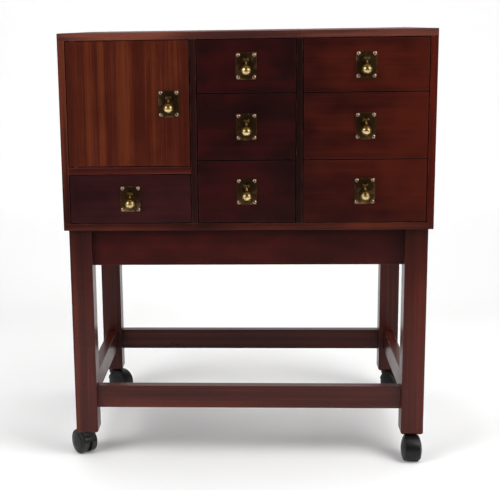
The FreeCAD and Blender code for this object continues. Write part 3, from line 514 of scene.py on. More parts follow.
# Painted shade: the rear legs are a darker copy of the leg wood, for the rear that less light reaches.
dress(mahogany("rear_leg_mahogany", "Z", "#2c100d #3a1511 #4c1e16", ribbon=10.0),
      "rear_left_leg", "rear_right_leg")
dress(mahogany("long_apron_mahogany", "X", **APRON_WOOD, bands=APRON_PAINTED_SHADE), "long_aprons")
dress(mahogany("side_apron_mahogany", "Y", **APRON_WOOD), "side_aprons")
dress(mahogany("long_stretcher_mahogany", "X", **LEG_WOOD, bands=REAR_STRETCHER_PAINTED_SHADE, bands_axis="Y"),
      "long_stretchers")
dress(mahogany("side_stretcher_mahogany", "Y", **LEG_WOOD), "side_stretchers")
print("mahogany on the legs, the aprons and the stretchers")

# %% [markdown]
# ## Helpers for turned and joined shapes
# Nails, pins, knobs and wheels are turned on a lathe or come from turned moulds. Their outline is drawn
# in the XZ plane from one vertex: a straight run pulls the vertex to a new corner, and a bend spins it
# about a centre. A full spin about Z then makes the skin.

# %% Define the turning helpers
SHARP_ANGLE = math.radians(50)
WELD = 0.001 * MM
Z_TO_X = Matrix.Rotation(QUARTER, 4, "Y")
Z_TO_FRONT = Matrix.Rotation(QUARTER, 4, "X")
Z_TO_BACK = Matrix.Rotation(-QUARTER, 4, "X")


def run_to(shape, start, radius, height):
    """Pulls a straight edge of an outline from a vertex to a new corner, in millimetres."""
    end = bmesh.ops.extrude_vert_indiv(shape, verts=[start])["verts"][0]
    end.co = Vector((radius, 0, height)) * MM
    return end


def bend(shape, start, radius, height, degrees, steps):
    """Spins an arc of an outline from a vertex about a centre; a positive turn is clockwise."""
    made = bmesh.ops.spin(shape, geom=[start], cent=Vector((radius, 0, height)) * MM, axis=(0, 1, 0),
                          angle=math.radians(degrees), steps=steps)
    return made["geom_last"][0]


def turn(shape, steps=40):
    """Spins an outline a full turn about the Z axis, closes its poles and points it outwards."""
    bmesh.ops.spin(shape, geom=shape.verts[:] + shape.edges[:], cent=(0, 0, 0), axis=(0, 0, 1),
                   angle=4 * QUARTER, steps=steps, use_merge=True)
    bmesh.ops.remove_doubles(shape, verts=shape.verts, dist=WELD)
    bmesh.ops.recalc_face_normals(shape, faces=shape.faces)


def soften(shape, radius, segments=3):
    """Rounds the sharp edges of a closed shape, by a radius in millimetres."""
    sharp = [edge for edge in shape.edges if edge.calc_face_angle(0) > SHARP_ANGLE]
    round_edges(shape, sharp, radius * MM, segments)


def rod(radius, low, high, round_over):
    """A turned rod on the Z axis with its two rims rounded over, in millimetres."""
    shape = bmesh.new()
    corner = run_to(shape, shape.verts.new((0, 0, low * MM)), radius, low)
    run_to(shape, run_to(shape, corner, radius, high), 0, high)
    turn(shape)
    soften(shape, round_over)
    return shape


print(f"edges over {math.degrees(SHARP_ANGLE):.0f} degrees are rounded over")

# %% [markdown]
# Flat shapes are an outline that is filled and pulled thick. Shapes that grow together, such as a plate
# and its ears, are joined by a Boolean modifier, so that the piece is one clean skin. Shapes that only
# touch, such as a nail in its plate, stay shells of their own in one mesh. A finished piece keeps its
# place in its mesh, with its object at the origin.

# %% Define the joining helpers
SMOOTH_BELOW = math.radians(35)


def pull_thick(shape, along):
    """Fills a closed outline with a face and pulls it thick along a vector."""
    face = bmesh.ops.contextual_create(shape, geom=shape.edges[:])["faces"]
    moved = corners_of(bmesh.ops.extrude_face_region(shape, geom=face))
    bmesh.ops.translate(shape, vec=along, verts=moved)
    bmesh.ops.recalc_face_normals(shape, faces=shape.faces)


def as_mesh(shape, placed=Matrix()):
    """Turns a bmesh into a mesh, moved to its place."""
    bmesh.ops.transform(shape, matrix=placed, verts=shape.verts)
    mesh = bpy.data.meshes.new("shape")
    shape.to_mesh(mesh)
    shape.free()
    return mesh


def merged(operation, *meshes):
    """Joins or cuts the first mesh with the others by Boolean modifiers, and gives one skin."""
    objects = [bpy.data.objects.new("shape", mesh) for mesh in meshes]
    for thing in objects:
        scene.collection.objects.link(thing)
    for other in objects[1:]:
        step = objects[0].modifiers.new("merge", "BOOLEAN")
        step.operation, step.object = operation, other
    finished = objects[0].evaluated_get(bpy.context.evaluated_depsgraph_get())
    result = bpy.data.meshes.new_from_object(finished)
    for thing in objects:
        bpy.data.objects.remove(thing)
    return result


def together(*meshes):
    """Puts meshes that only touch into one mesh, shaded smooth but for its sharp edges."""
    shape = bmesh.new()
    for mesh in meshes:
        shape.from_mesh(mesh)
    mesh = as_mesh(shape)
    mesh.shade_smooth()
    mesh.set_sharp_from_angle(angle=SMOOTH_BELOW)
    return mesh


print(f"edges under {math.degrees(SMOOTH_BELOW):.0f} degrees are shaded smooth")

# %% [markdown]
# A finished mesh is copied to its places. Each copy rides on the body that moves it and stands for a
# node of the frame. An attribute can mark its points from 0 to 1, for a material to read.

# %% Define the setting helpers
def mark(mesh, name, measures, low, high):
    """Marks each point of a mesh from 0 to 1, as its measure goes from low to high."""
    marks = [min(max((measure - low) / (high - low), 0), 1) for measure in measures]
    mesh.attributes.new(name, "FLOAT", "POINT").data.foreach_set("value", marks)


def set_piece(name, mesh, placed, material, body, slot, *nodes):
    """Sets a copy of a mesh in its place, rides it on a body and hides the CAD nodes it stands for."""
    own = mesh.copy()
    own.transform(placed)
    own.materials.clear()
    own.materials.append(material)
    piece = bpy.data.objects.new(name, own)
    scene.collection.objects.link(piece)
    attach(piece, body)
    if nodes:
        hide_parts(*nodes)


joints = {joint["name"]: joint for joint in frame["joints"]}
print(f"{len(joints)} joints to place pieces by")

# %% [markdown]
# ## Old brass
# The pulls are cast and rolled brass, lacquered once and since gone brown in patches. Hands keep the
# ball and the edges bright, so the patina is a cloudy noise that is held back on edges. An attribute
# marks where the brown is full on the drop: on its neck and eye it is patina, and on the upper half of
# the ball it is painted shade, standing for the dark room that the ball mirrors. The plates were rolled
# and filed by hand, so a slow bump makes their mirror image uneven, and fine scratches run across. A
# metal keeps the default IOR; its colour is the colour of its reflections.

# %% Define the brass
PATINA_SPOT, PATINA_CONTRAST = 14.0, 1.6
BRASS_ROUND, BRASS_BARE, BRASS_COVERED = 0.8, 0.75, 0.98
BRIGHT_ROUGHNESS, PATINA_DULLS = 0.27, 0.10
SCRATCH_WIDTH, SCRATCH_LENGTH, SCRATCH_SLANT = 0.35, 14.0, 0.5
SCRATCH_RELIEF = {"Strength": 0.10, "Distance": 0.1 * MM}
RIPPLE = 11.0
RIPPLE_RELIEF = {"Strength": 0.35, "Distance": 0.8 * MM}


def old_brass(name, bright, brown, share):
    """Worn brass with patina; share says how much of it is brown."""
    material, tree, place = new_material(name)
    spots = add_node(tree, "TexNoise", {
        "Vector": place, "Scale": 1 / (PATINA_SPOT * MM), "Detail": 5.0})
    unrubbed = edge_ramp(tree, BRASS_ROUND, (BRASS_BARE, BLACK), (BRASS_COVERED, WHITE))
    # The attribute marks the drop's patina on neck and eye and painted shade on the ball's upper half.
    patina_and_shade = add_node(tree, "Attribute", attribute_name="patina_and_shade").outputs["Fac"]
    least = add_node(tree, "Math", {0: patina_and_shade, 1: share - PATINA_CONTRAST / 2}, operation="ADD")
    brownness = add_node(tree, "Math", {0: spots, 1: PATINA_CONTRAST, 2: least},
                         operation="MULTIPLY_ADD", use_clamp=True)
    kept = add_node(tree, "Math", {0: unrubbed, 1: patina_and_shade}, operation="MAXIMUM")
    patina = add_node(tree, "Math", {0: brownness, 1: kept}, operation="MULTIPLY")
    colour = add_node(tree, "Mix", {0: patina, MIX_A: linear(bright), MIX_B: linear(brown)},
                      data_type="RGBA")
    dullness = add_node(tree, "Math", {0: patina, 1: PATINA_DULLS, 2: BRIGHT_ROUGHNESS},
                        operation="MULTIPLY_ADD")

    across = add_node(tree, "Mapping", {
        "Vector": place, "Rotation": (0, SCRATCH_SLANT, 0),
        "Scale": grain_scale("X", SCRATCH_WIDTH, SCRATCH_LENGTH)})
    scratches = add_node(tree, "TexNoise", {"Vector": across, "Scale": 1.0, "Detail": 1.0})
    ripple = add_node(tree, "TexNoise", {"Vector": place, "Scale": 1 / (RIPPLE * MM), "Detail": 1.0})
    dents = add_node(tree, "Bump", {"Height": ripple, **RIPPLE_RELIEF})
    relief = add_node(tree, "Bump", {"Height": scratches, "Normal": dents, **SCRATCH_RELIEF})
    set_surface(tree, colour, dullness, relief, Metallic=1.0)
    return material


plate_brass = old_brass("patinated_brass", bright="#c4a070", brown="#4a3520", share=1.05)
drop_brass = old_brass("polished_brass", bright="#e3c78c", brown="#5e4822", share=0.20)
nail_brass = old_brass("nail_brass", bright="#a08474", brown="#6e574a", share=0.35)
print("brass for plates, drops and nails")

# %% [markdown]
# ## Pull plates
# Each plate is sheet brass with four dome-headed nails. Two ears stand out of it and carry a thin pin
# for the drop. The plate is a cube made flat, with its edges rounded, an ear is half a disc on a short
# arm, and a nail's head is a small arc turned. All eight pulls are alike, so the plate is modelled
# once, about the middle of its back, and copied to its places.

# %% Model the pull plate
PLATE_WIDTH, PLATE_THICKNESS, PLATE_HEIGHT = 42.0, 2.0, 54.0
PLATE_ROUND = 0.8
EAR_OFFSET, EAR_THICKNESS, EAR_RADIUS, EAR_ROUND = 4.2, 2.2, 4.5, 0.4
PIN_RISE, PIN_STANDOFF = 12.0, 7.5
PIN_PLACE = Vector((0, -PIN_STANDOFF, PIN_RISE)) * MM

sheet = bmesh.new()
bmesh.ops.create_cube(sheet, size=MM)
bmesh.ops.scale(sheet, vec=(PLATE_WIDTH, PLATE_THICKNESS, PLATE_HEIGHT), verts=sheet.verts)
bmesh.ops.translate(sheet, vec=(0, -PLATE_THICKNESS * MM / 2, 0), verts=sheet.verts)
back = max(sheet.faces, key=lambda face: face.calc_center_median().y)
rims = [edge for edge in sheet.edges if edge not in back.edges[:]]
round_edges(sheet, rims, PLATE_ROUND * MM)


def ear(side):
    """Half a disc about the pin on an arm that reaches into the plate, made thick along X."""
    shape = bmesh.new()
    middle = PIN_PLACE + Vector((side * EAR_OFFSET - EAR_THICKNESS / 2, 0, 0)) * MM
    top = shape.verts.new(middle + Vector((0, 0, EAR_RADIUS * MM)))
    half = bmesh.ops.spin(shape, geom=[top], cent=middle, axis=(1, 0, 0), angle=2 * QUARTER, steps=16)
    feet = bmesh.ops.extrude_vert_indiv(shape, verts=[top, half["geom_last"][0]])["verts"]
    for foot in feet:
        foot.co.y = -PLATE_THICKNESS * MM / 2
    shape.edges.new(feet)
    pull_thick(shape, (EAR_THICKNESS * MM, 0, 0))
    soften(shape, EAR_ROUND, segments=2)
    return shape


yoke = merged("UNION", as_mesh(sheet), as_mesh(ear(-1)), as_mesh(ear(1)))
print(f"plate with ears: {len(yoke.polygons)} faces")

# %% [markdown]
# The nails have flattened dome heads, 8 mm wide and 2 mm high, cut from a ball of 5 mm radius. The pin's
# ends are hammered over a little outside the ears.

# %% Add the pin and the nails
NAIL_RADIUS, NAIL_HEIGHT, NAIL_BALL, NAIL_SUNK = 4.0, 2.0, 5.0, 0.5
NAIL_X, NAIL_Z = 16.0, 22.0
NAIL_PLACES = [Vector((x, -PLATE_THICKNESS, z)) * MM
               for x in (-NAIL_X, NAIL_X) for z in (-NAIL_Z, NAIL_Z)]
PIN_RADIUS, PIN_ROUND, PIN_PROUD = 1.3, 0.4, 0.3
PIN_REACH = EAR_OFFSET + EAR_THICKNESS / 2 + PIN_PROUD


def nail_head():
    """A flattened dome whose rim is sunk a little into the plate."""
    shape = bmesh.new()
    crown = shape.verts.new((0, 0, NAIL_HEIGHT * MM))
    slope = math.degrees(math.asin(NAIL_RADIUS / NAIL_BALL))
    rim = bend(shape, crown, 0, NAIL_HEIGHT - NAIL_BALL, slope, steps=8)
    run_to(shape, run_to(shape, rim, NAIL_RADIUS, -NAIL_SUNK), 0, -NAIL_SUNK)
    turn(shape, steps=28)
    return shape


pin_rod = rod(PIN_RADIUS, -PIN_REACH, PIN_REACH, PIN_ROUND)
pin = as_mesh(pin_rod, Matrix.Translation(PIN_PLACE) @ Z_TO_X)
nails = [as_mesh(nail_head(), Matrix.Translation(place) @ Z_TO_FRONT) for place in NAIL_PLACES]
plate_mesh, nails_mesh = together(yoke, pin), together(*nails)
print(f"plate with its pin: {len(plate_mesh.polygons)} faces, nails: {len(nails_mesh.polygons)} faces")

# %% [markdown]
# ## Drops
# The drop is a brass pear: a ball, a waist that sweeps into a thin neck, and an eye that hangs on the
# pin. The outline starts at the bottom of the ball, runs round it to where the sweep touches, and bends
# back the other way to the neck. The drop leans out a little, because the ball rests on the plate.
# The brown begins just under the ball's middle and is full a third of the way up its upper half and over
# the neck and eye: patina on the neck and eye, painted shade on the ball.

# %% Model the drop
BALL_RADIUS, DROP_LENGTH, BALL_CLEARANCE = 10.5, 20.5, 0.3
NECK_RADIUS, WAIST_SWEEP = 2.2, 7.0
EYE_RADIUS, EYE_WIDTH, EYE_ROUND = 3.5, 5.6, 0.9
# Where the drop's brown begins and is full, in ball radii above its middle: painted shade on the ball,
# patina on the neck and eye.
BROWN_FROM, BROWN_FULL = -0.15, 0.3
LEAN_OUT = math.asin((PLATE_THICKNESS + BALL_CLEARANCE + BALL_RADIUS - PIN_STANDOFF) / DROP_LENGTH)

pear = bmesh.new()
sweep_x = NECK_RADIUS + WAIST_SWEEP
sweep_rise = math.sqrt((BALL_RADIUS + WAIST_SWEEP) ** 2 - sweep_x ** 2)
touch = math.degrees(math.atan2(sweep_rise, sweep_x))
tip = pear.verts.new((0, 0, -(DROP_LENGTH + BALL_RADIUS) * MM))
waist = bend(pear, tip, 0, -DROP_LENGTH, -(90 + touch), steps=24)
neck = bend(pear, waist, sweep_x, sweep_rise - DROP_LENGTH, touch, steps=8)
run_to(pear, run_to(pear, neck, NECK_RADIUS, 0), 0, 0)
turn(pear, steps=48)
eye = rod(EYE_RADIUS, -EYE_WIDTH / 2, EYE_WIDTH / 2, EYE_ROUND)
drop_mesh = together(merged("UNION", as_mesh(pear), as_mesh(eye, Z_TO_X)))
rises = [(v.co.z / MM + DROP_LENGTH) / BALL_RADIUS for v in drop_mesh.vertices]
mark(drop_mesh, "patina_and_shade", rises, BROWN_FROM, BROWN_FULL)
print(f"drop: {len(drop_mesh.polygons)} faces, leaning {math.degrees(LEAN_OUT):.1f} degrees")

# %% [markdown]
# ## Set the pulls
# The pin of each drop is where the frame has its joint, so the joint's position places both the plate
# and the drop. The plate rides on its door or drawer, the drop on a body of its own.

# %% Set plates and drops
DRAWERS = ["left_drawer"] + [f"{column}_{row}_drawer" for column in ("middle", "right") for row in ROWS]
FRONTS = ["door"] + DRAWERS
for front in FRONTS:
    hung = Matrix.Translation(joints[f"{front}_drop_swing"]["pos_m"])
    nailed = hung @ Matrix.Translation(-PIN_PLACE)
    leaning = hung @ Matrix.Rotation(-LEAN_OUT, 4, "X")
    set_piece(f"{front}_plate", plate_mesh, nailed, plate_brass, front, "pull_brass",
              f"{front}_pull_plate")
    set_piece(f"{front}_nails", nails_mesh, nailed, nail_brass, front, "pull_brass")
    set_piece(f"{front}_pear_drop", drop_mesh, leaning, drop_brass, f"{front}_drop", "pull_brass",
              f"{front}_pull_drop")
print(f"{len(FRONTS)} pulls set")

# %% [markdown]
# ## Moulded nylon
# The casters are black nylon. Their moulds were spark-eroded, which leaves a fine even grain, and the
# plastic is satin rather than glossy. Dust sits on the treads, where the wheels touch the floor, so the
# wheels carry an attribute that says how near the tread a point is.

# %% Define the nylon
MOULD_GRAIN = 0.8  # real grain is about a quarter of this; it is drawn coarser so that it shows
MOULD_RELIEF = {"Strength": 0.25, "Distance": 0.15 * MM}
DUST_PATCH, TREAD_DUST, LEAST_DUST = 9.0, 0.3, 0.06
NYLON_COLOUR, DUST_COLOUR = "#09090b", "#6d6a64"
NYLON_ROUGHNESS, DUST_DULLS, NYLON_IOR = 0.31, 0.6, 1.32

black_nylon, tree, place = new_material("moulded_black_nylon")
grain = add_node(tree, "TexNoise", {"Vector": place, "Scale": 1 / (MOULD_GRAIN * MM), "Detail": 2.0})
patches = add_node(tree, "TexNoise", {"Vector": place, "Scale": 1 / (DUST_PATCH * MM), "Detail": 4.0})
near_tread = add_node(tree, "Attribute", attribute_name="tread").outputs["Fac"]
dusty = add_node(tree, "Math", {0: near_tread, 1: TREAD_DUST, 2: LEAST_DUST}, operation="MULTIPLY_ADD")
dust = add_node(tree, "Math", {0: dusty, 1: patches}, operation="MULTIPLY")
colour = add_node(tree, "Mix", {0: dust, MIX_A: linear(NYLON_COLOUR), MIX_B: linear(DUST_COLOUR)},
                  data_type="RGBA")
dullness = add_node(tree, "Math", {0: dust, 1: DUST_DULLS, 2: NYLON_ROUGHNESS}, operation="MULTIPLY_ADD")
relief = add_node(tree, "Bump", {"Height": grain, **MOULD_RELIEF})
set_surface(tree, colour, dullness, relief, IOR=NYLON_IOR)
print("nylon for hoods and wheels")

# %% [markdown]
# ## Caster wheels
# A twin-wheel caster has two domed wheels on one axle. The outline of a wheel starts at the axle, runs
# up the inner side to a flat tread, over a rounded shoulder, and down the dome to a small sunk hub. A
# ring groove in the dome is where the mould's two halves met.

# %% Model a pair of wheels
WHEEL_RADIUS, WHEEL_INNER, WHEEL_RIM, WHEEL_OUTER = 25.0, 4.0, 18.0, 22.2
INNER_ROUND, SHOULDER_ROUND = 1.0, 2.5
HUB_RADIUS, HUB_SUNK = 6.0, 0.8
GROOVE_RADIUS, GROOVE_WIDTH, GROOVE_DEPTH = 19.0, 1.0, 0.6
AXLE_RADIUS, AXLE_ROUND = 3.0, 0.2
CASTER_TRAIL = 19.0
DOME_EDGE = WHEEL_RADIUS - SHOULDER_ROUND
DOME_RADIUS = (DOME_EDGE ** 2 + (WHEEL_OUTER - WHEEL_RIM) ** 2) / (2 * (WHEEL_OUTER - WHEEL_RIM))
DOME_CENTRE = WHEEL_OUTER - DOME_RADIUS


def dome_angle(radius):
    """Angle on the dome at a distance from the axle, in degrees."""
    return math.degrees(math.asin(radius / DOME_RADIUS))


def dome_height(radius):
    """Height of the dome at a distance from the axle."""
    return DOME_CENTRE + math.sqrt(DOME_RADIUS ** 2 - radius ** 2)


def wheel():
    """One wheel turned about the Z axis, with its dome upwards."""
    shape = bmesh.new()
    hub = shape.verts.new((0, 0, WHEEL_INNER * MM))
    side = run_to(shape, hub, WHEEL_RADIUS - INNER_ROUND, WHEEL_INNER)
    tread = bend(shape, side, WHEEL_RADIUS - INNER_ROUND, WHEEL_INNER + INNER_ROUND, -90, steps=3)
    shoulder = run_to(shape, tread, WHEEL_RADIUS, WHEEL_RIM - SHOULDER_ROUND)
    point = bend(shape, shoulder, DOME_EDGE, WHEEL_RIM - SHOULDER_ROUND, -90, steps=6)
    groove = (GROOVE_RADIUS + GROOVE_WIDTH / 2, GROOVE_RADIUS - GROOVE_WIDTH / 2)
    point = bend(shape, point, 0, DOME_CENTRE, dome_angle(groove[0]) - dome_angle(DOME_EDGE), steps=3)
    for radius in groove:
        point = run_to(shape, point, radius, dome_height(radius) - GROOVE_DEPTH)
    point = run_to(shape, point, groove[1], dome_height(groove[1]))
    point = bend(shape, point, 0, DOME_CENTRE, dome_angle(HUB_RADIUS) - dome_angle(groove[1]), steps=8)
    floor = dome_height(HUB_RADIUS) - HUB_SUNK
    run_to(shape, run_to(shape, point, HUB_RADIUS, floor), 0, floor)
    turn(shape, steps=64)
    return shape


axle = Vector((CASTER_TRAIL, 0, WHEEL_RADIUS)) * MM
on_front, on_back = [Matrix.Translation(axle) @ side for side in (Z_TO_FRONT, Z_TO_BACK)]
axle_rod = rod(AXLE_RADIUS, -WHEEL_INNER, WHEEL_INNER, AXLE_ROUND)
wheels_mesh = together(as_mesh(wheel(), on_front), as_mesh(wheel(), on_back), as_mesh(axle_rod, on_back))
from_axle = [math.hypot(v.co.x - axle.x, v.co.z - axle.z) / MM for v in wheels_mesh.vertices]
mark(wheels_mesh, "tread", from_axle, DOME_EDGE, WHEEL_RADIUS)
print(f"pair of wheels: {len(wheels_mesh.polygons)} faces")

# %% [markdown]
# ## Caster hoods
# The hood is a band over both wheels that reaches low behind them, with a web between the wheels and a
# round boss for the stem. The band is a strip spun part of a turn about the axle. The web is outlined
# by two arcs about the axle and pulled thick. The boss is a rod that is cut to sit on the band.

# %% Model the hood
BAND_INNER, BAND_OUTER, BAND_WIDTH, BAND_ROUND = 26.2, 29.2, 30.0, 0.7
BAND_START, BAND_SWEEP, BAND_STEPS = math.radians(-35), math.radians(205), 48
WEB_THICKNESS, WEB_RADIUS, WEB_STEPS = 7.0, 20.0, 32
BAND_MIDDLE = (BAND_INNER + BAND_OUTER) / 2
ABOUT_AXLE = dict(cent=(0, 0, 0), axis=(0, 0, 1))

band = bmesh.new()
bmesh.ops.create_grid(band, x_segments=1, y_segments=1, size=MM / 2)
bmesh.ops.scale(band, vec=(BAND_OUTER - BAND_INNER, BAND_WIDTH, 1), verts=band.verts)
band_place = Matrix.Rotation(BAND_START, 4, "Z") @ Matrix.Translation((BAND_MIDDLE * MM, 0, 0))
bmesh.ops.transform(band, matrix=band_place @ Z_TO_FRONT, verts=band.verts)
grid = band.faces[:] + band.edges[:] + band.verts[:]
bmesh.ops.spin(band, geom=grid, angle=BAND_SWEEP, steps=BAND_STEPS, **ABOUT_AXLE)
bmesh.ops.recalc_face_normals(band, faces=band.faces)
soften(band, BAND_ROUND)

web = bmesh.new()
first = web.verts.new(Matrix.Rotation(BAND_START, 3, "Z") @ Vector((BAND_MIDDLE * MM, 0, 0)))
outer_arc = bmesh.ops.spin(web, geom=[first], angle=BAND_SWEEP, steps=BAND_STEPS, **ABOUT_AXLE)
step_in = bmesh.ops.extrude_vert_indiv(web, verts=outer_arc["geom_last"][:1])["verts"][0]
step_in.co *= WEB_RADIUS / BAND_MIDDLE
rest = 4 * QUARTER - BAND_SWEEP
inner_arc = bmesh.ops.spin(web, geom=[step_in], angle=rest, steps=WEB_STEPS, **ABOUT_AXLE)
web.edges.new((inner_arc["geom_last"][0], first))
pull_thick(web, (0, 0, WEB_THICKNESS * MM))
bmesh.ops.translate(web, vec=(0, 0, -WEB_THICKNESS * MM / 2), verts=web.verts)
print(f"band {len(band.faces)} faces, web {len(web.faces)} faces")

# %% [markdown]
# The boss may not reach down to the wheels, so the room of each wheel is cut from it before the three
# shapes are joined. The stem is a steel pin that goes up into the socket in the leg.

# %% Join the hood and turn the stem
BOSS_RADIUS, BOSS_BOTTOM, BOSS_TOP, BOSS_ROUND = 14.0, 44.2, 55.2, 1.2
STEM_RADIUS, STEM_BOTTOM, STEM_TOP, STEM_ROUND = 5.0, 50.2, 94.7, 0.6
ROOM_ROUND = 0.1

wheel_rooms = [as_mesh(rod(BAND_MIDDLE, WEB_THICKNESS / 2, BAND_WIDTH, ROOM_ROUND), side)
               for side in (on_front, on_back)]
boss_rod = rod(BOSS_RADIUS, BOSS_BOTTOM, BOSS_TOP, BOSS_ROUND)
boss = merged("DIFFERENCE", as_mesh(boss_rod), *wheel_rooms)
hood_mesh = together(merged("UNION", as_mesh(band, on_front), as_mesh(web, on_front), boss))
stem_mesh = together(as_mesh(rod(STEM_RADIUS, STEM_BOTTOM, STEM_TOP, STEM_ROUND)))
print(f"hood {len(hood_mesh.polygons)} faces, stem {len(stem_mesh.polygons)} faces")

# %% [markdown]
# ## Zinc-plated steel
# Sockets, stems, screws, pivots and the catch are zinc-plated steel: a cool grey metal gone dull, a
# little cloudy where the plating is uneven, with soft reflections.

# %% Define the steel
PLATING_CLOUD = 6.0
PLATING_RELIEF = {"Strength": 0.1, "Distance": 0.1 * MM}
ZINC_DARK, ZINC_LIGHT = "#5f5e5b", "#83827e"
ZINC_ROUGHNESS, ZINC_DULLS = 0.25, 0.2

zinc_steel, tree, place = new_material("zinc_plated_steel")
cloud = add_node(tree, "TexNoise", {"Vector": place, "Scale": 1 / (PLATING_CLOUD * MM), "Detail": 4.0})
colour = add_node(tree, "Mix", {0: cloud, MIX_A: linear(ZINC_DARK), MIX_B: linear(ZINC_LIGHT)},
                  data_type="RGBA")
dullness = add_node(tree, "Math", {0: cloud, 1: ZINC_DULLS, 2: ZINC_ROUGHNESS}, operation="MULTIPLY_ADD")
relief = add_node(tree, "Bump", {"Height": cloud, **PLATING_RELIEF})
set_surface(tree, colour, dullness, relief, Metallic=1.0)
dress(zinc_steel, "caster_sockets", "stand_screws", "door_pivot_pins", "door_catch")
print("steel on the small fittings")

# %% [markdown]
# ## Set the casters
# Every caster was left turned its own way. The joints tell which: the stem turns about one joint and the
# axle lies at the other, and the line between them is the way that the caster trails.

# %% Set hoods, stems and wheels
CORNERS = ("front_left", "front_right", "rear_left", "rear_right")
for corner in CORNERS:
    stem_place = Vector(joints[f"{corner}_swivel"]["pos_m"])
    trail = Vector(joints[f"{corner}_roll"]["pos_m"]) - stem_place
    trailing = Matrix.Rotation(math.atan2(trail.y, trail.x), 4, "Z")
    stood = Matrix.Translation((stem_place.x, stem_place.y, 0)) @ trailing
    caster = f"{corner}_caster"
    set_piece(f"{corner}_hood", hood_mesh, stood, black_nylon, caster, "caster_plastic",
              f"{caster}_hood")
    set_piece(f"{corner}_stem", stem_mesh, stood, zinc_steel, caster, "fitting_steel")
    set_piece(f"{corner}_twin_wheels", wheels_mesh, stood, black_nylon, f"{corner}_wheels",
              "caster_plastic", f"{caster}_wheels")
print(f"{len(CORNERS)} casters set")

# %% [markdown]
# ## Beech inside
# The drawer boxes and the runners are plain waxed beech, a pale pinkish wood whose rays show as short
# brown flecks along the grain. The grain follows the long side of a board: from front to back on the
# sides, across on the boards that face the front. So the pattern is drawn out along X where the surface
# faces along Y, and along Y elsewhere.

# %% Define the beech
# Width across the grain and length along it, in mm. Flecks are twice the real size, so that they show.
BEECH_LAYERS = {"streaks": (7.0, 260.0), "flecks": (0.7, 5.0)}
FACING_Y = 0.7
STREAK_STOPS = ((0.35, linear("#9c7349")), (0.65, linear("#c09a6c")))
FLECK_STOPS, FLECK_SHARE, FLECK_COLOUR = ((0.60, BLACK), (0.70, WHITE)), 0.45, "#6e4a2c"
WAX_ROUGHNESS, STREAKS_DULL = 0.45, 0.2
BEECH_RELIEF = {"Strength": 0.2, "Distance": 0.15 * MM}

waxed_beech, tree, place = new_material("waxed_beech")
normal = add_node(tree, "TexCoord").outputs["Normal"]
facing = add_node(tree, "SeparateXYZ", {"Vector": normal}).outputs["Y"]
tilt = add_node(tree, "Math", {0: facing}, operation="ABSOLUTE")
faces_front = add_node(tree, "Math", {0: tilt, 1: FACING_Y}, operation="GREATER_THAN")
layers = {}
for layer, (width, length) in BEECH_LAYERS.items():
    along_y, along_x = [add_node(tree, "Mapping", {
        "Vector": place, "Scale": grain_scale(axis, width, length)}) for axis in "YX"]
    grain = add_node(tree, "Mix", {0: faces_front, MIX_VECTOR_A: along_y, MIX_VECTOR_B: along_x},
                     data_type="VECTOR")
    layers[layer] = add_node(tree, "TexNoise", {"Vector": grain, "Scale": 1.0, "Detail": 2.0})
colour = add_node(tree, "ValToRGB", {"Fac": layers["streaks"]}, STREAK_STOPS)
flecks = add_node(tree, "ValToRGB", {"Fac": layers["flecks"]}, FLECK_STOPS)
fleck_share = add_node(tree, "Math", {0: flecks, 1: FLECK_SHARE}, operation="MULTIPLY")
colour = add_node(tree, "Mix", {0: fleck_share, MIX_A: colour, MIX_B: linear(FLECK_COLOUR)},
                  data_type="RGBA")
dullness = add_node(tree, "Math", {0: layers["streaks"], 1: STREAKS_DULL, 2: WAX_ROUGHNESS},
                    operation="MULTIPLY_ADD")
relief = add_node(tree, "Bump", {"Height": layers["flecks"], **BEECH_RELIEF})
set_surface(tree, colour, dullness, relief)
dress(waxed_beech, "drawer_runners", *[f"{drawer}_box" for drawer in DRAWERS])
print(f"beech on the runners and on {len(DRAWERS)} drawer boxes")

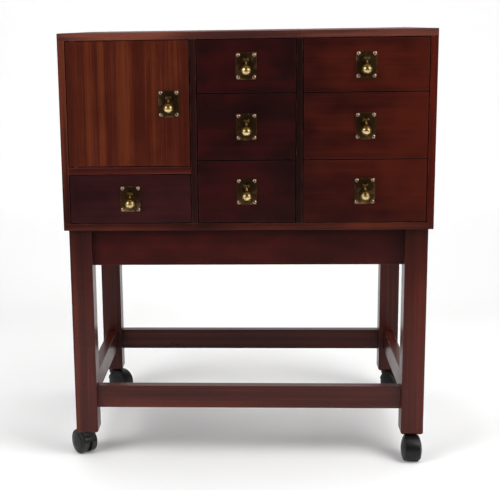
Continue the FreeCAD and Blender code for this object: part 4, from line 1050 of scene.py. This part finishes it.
# %% [markdown]
# ## Plywood back
# The back is a thin sheet of plywood. Its veneer was peeled off a turning log, so the figure is wide and
# wavy, and it was left bare. A noise that another noise bends gives the wide loops, and fine pores run
# upright.

# %% Define the plywood
LOOP_WIDTH, LOOP_LENGTH, RINGS = 60.0, 420.0, 9.0
PLY_PORE_WIDTH, PLY_PORE_LENGTH = 0.8, 14.0  # three times the real width, so that they show
RING_STOPS = ((0.0, linear("#7a5538")), (0.55, linear("#8f6746")), (1.0, linear("#a37b57")))
PLY_PORE_STOPS, PLY_PORE_SHARE, PLY_PORE_COLOUR = ((0.58, BLACK), (0.70, WHITE)), 0.5, "#4a3020"
PLY_ROUGHNESS, RINGS_DULL = 0.65, 0.1
PLY_RELIEF = {"Strength": 0.25, "Distance": 0.2 * MM}

bare_plywood, tree, place = new_material("rotary_cut_plywood")
wide, narrow = [add_node(tree, "Mapping", {"Vector": place, "Scale": grain_scale("Z", *size)})
                for size in ((LOOP_WIDTH, LOOP_LENGTH), (PLY_PORE_WIDTH, PLY_PORE_LENGTH))]
loops = add_node(tree, "TexNoise", {"Vector": wide, "Scale": 1.0, "Detail": 1.0, "Distortion": 0.6})
rings = add_node(tree, "Math", {0: loops, 1: RINGS}, operation="MULTIPLY")
ring_place = add_node(tree, "Math", {0: rings, 1: 1.0}, operation="PINGPONG")
colour = add_node(tree, "ValToRGB", {"Fac": ring_place}, RING_STOPS)
pores = add_node(tree, "TexNoise", {"Vector": narrow, "Scale": 1.0, "Detail": 1.0})
pore_mask = add_node(tree, "ValToRGB", {"Fac": pores}, PLY_PORE_STOPS)
pore_share = add_node(tree, "Math", {0: pore_mask, 1: PLY_PORE_SHARE}, operation="MULTIPLY")
colour = add_node(tree, "Mix", {0: pore_share, MIX_A: colour, MIX_B: linear(PLY_PORE_COLOUR)},
                  data_type="RGBA")
dullness = add_node(tree, "Math", {0: ring_place, 1: RINGS_DULL, 2: PLY_ROUGHNESS},
                    operation="MULTIPLY_ADD")
relief = add_node(tree, "Bump", {"Height": pores, **PLY_RELIEF})
set_surface(tree, colour, dullness, relief)
dress(bare_plywood, "case_back")
print("plywood on the back")
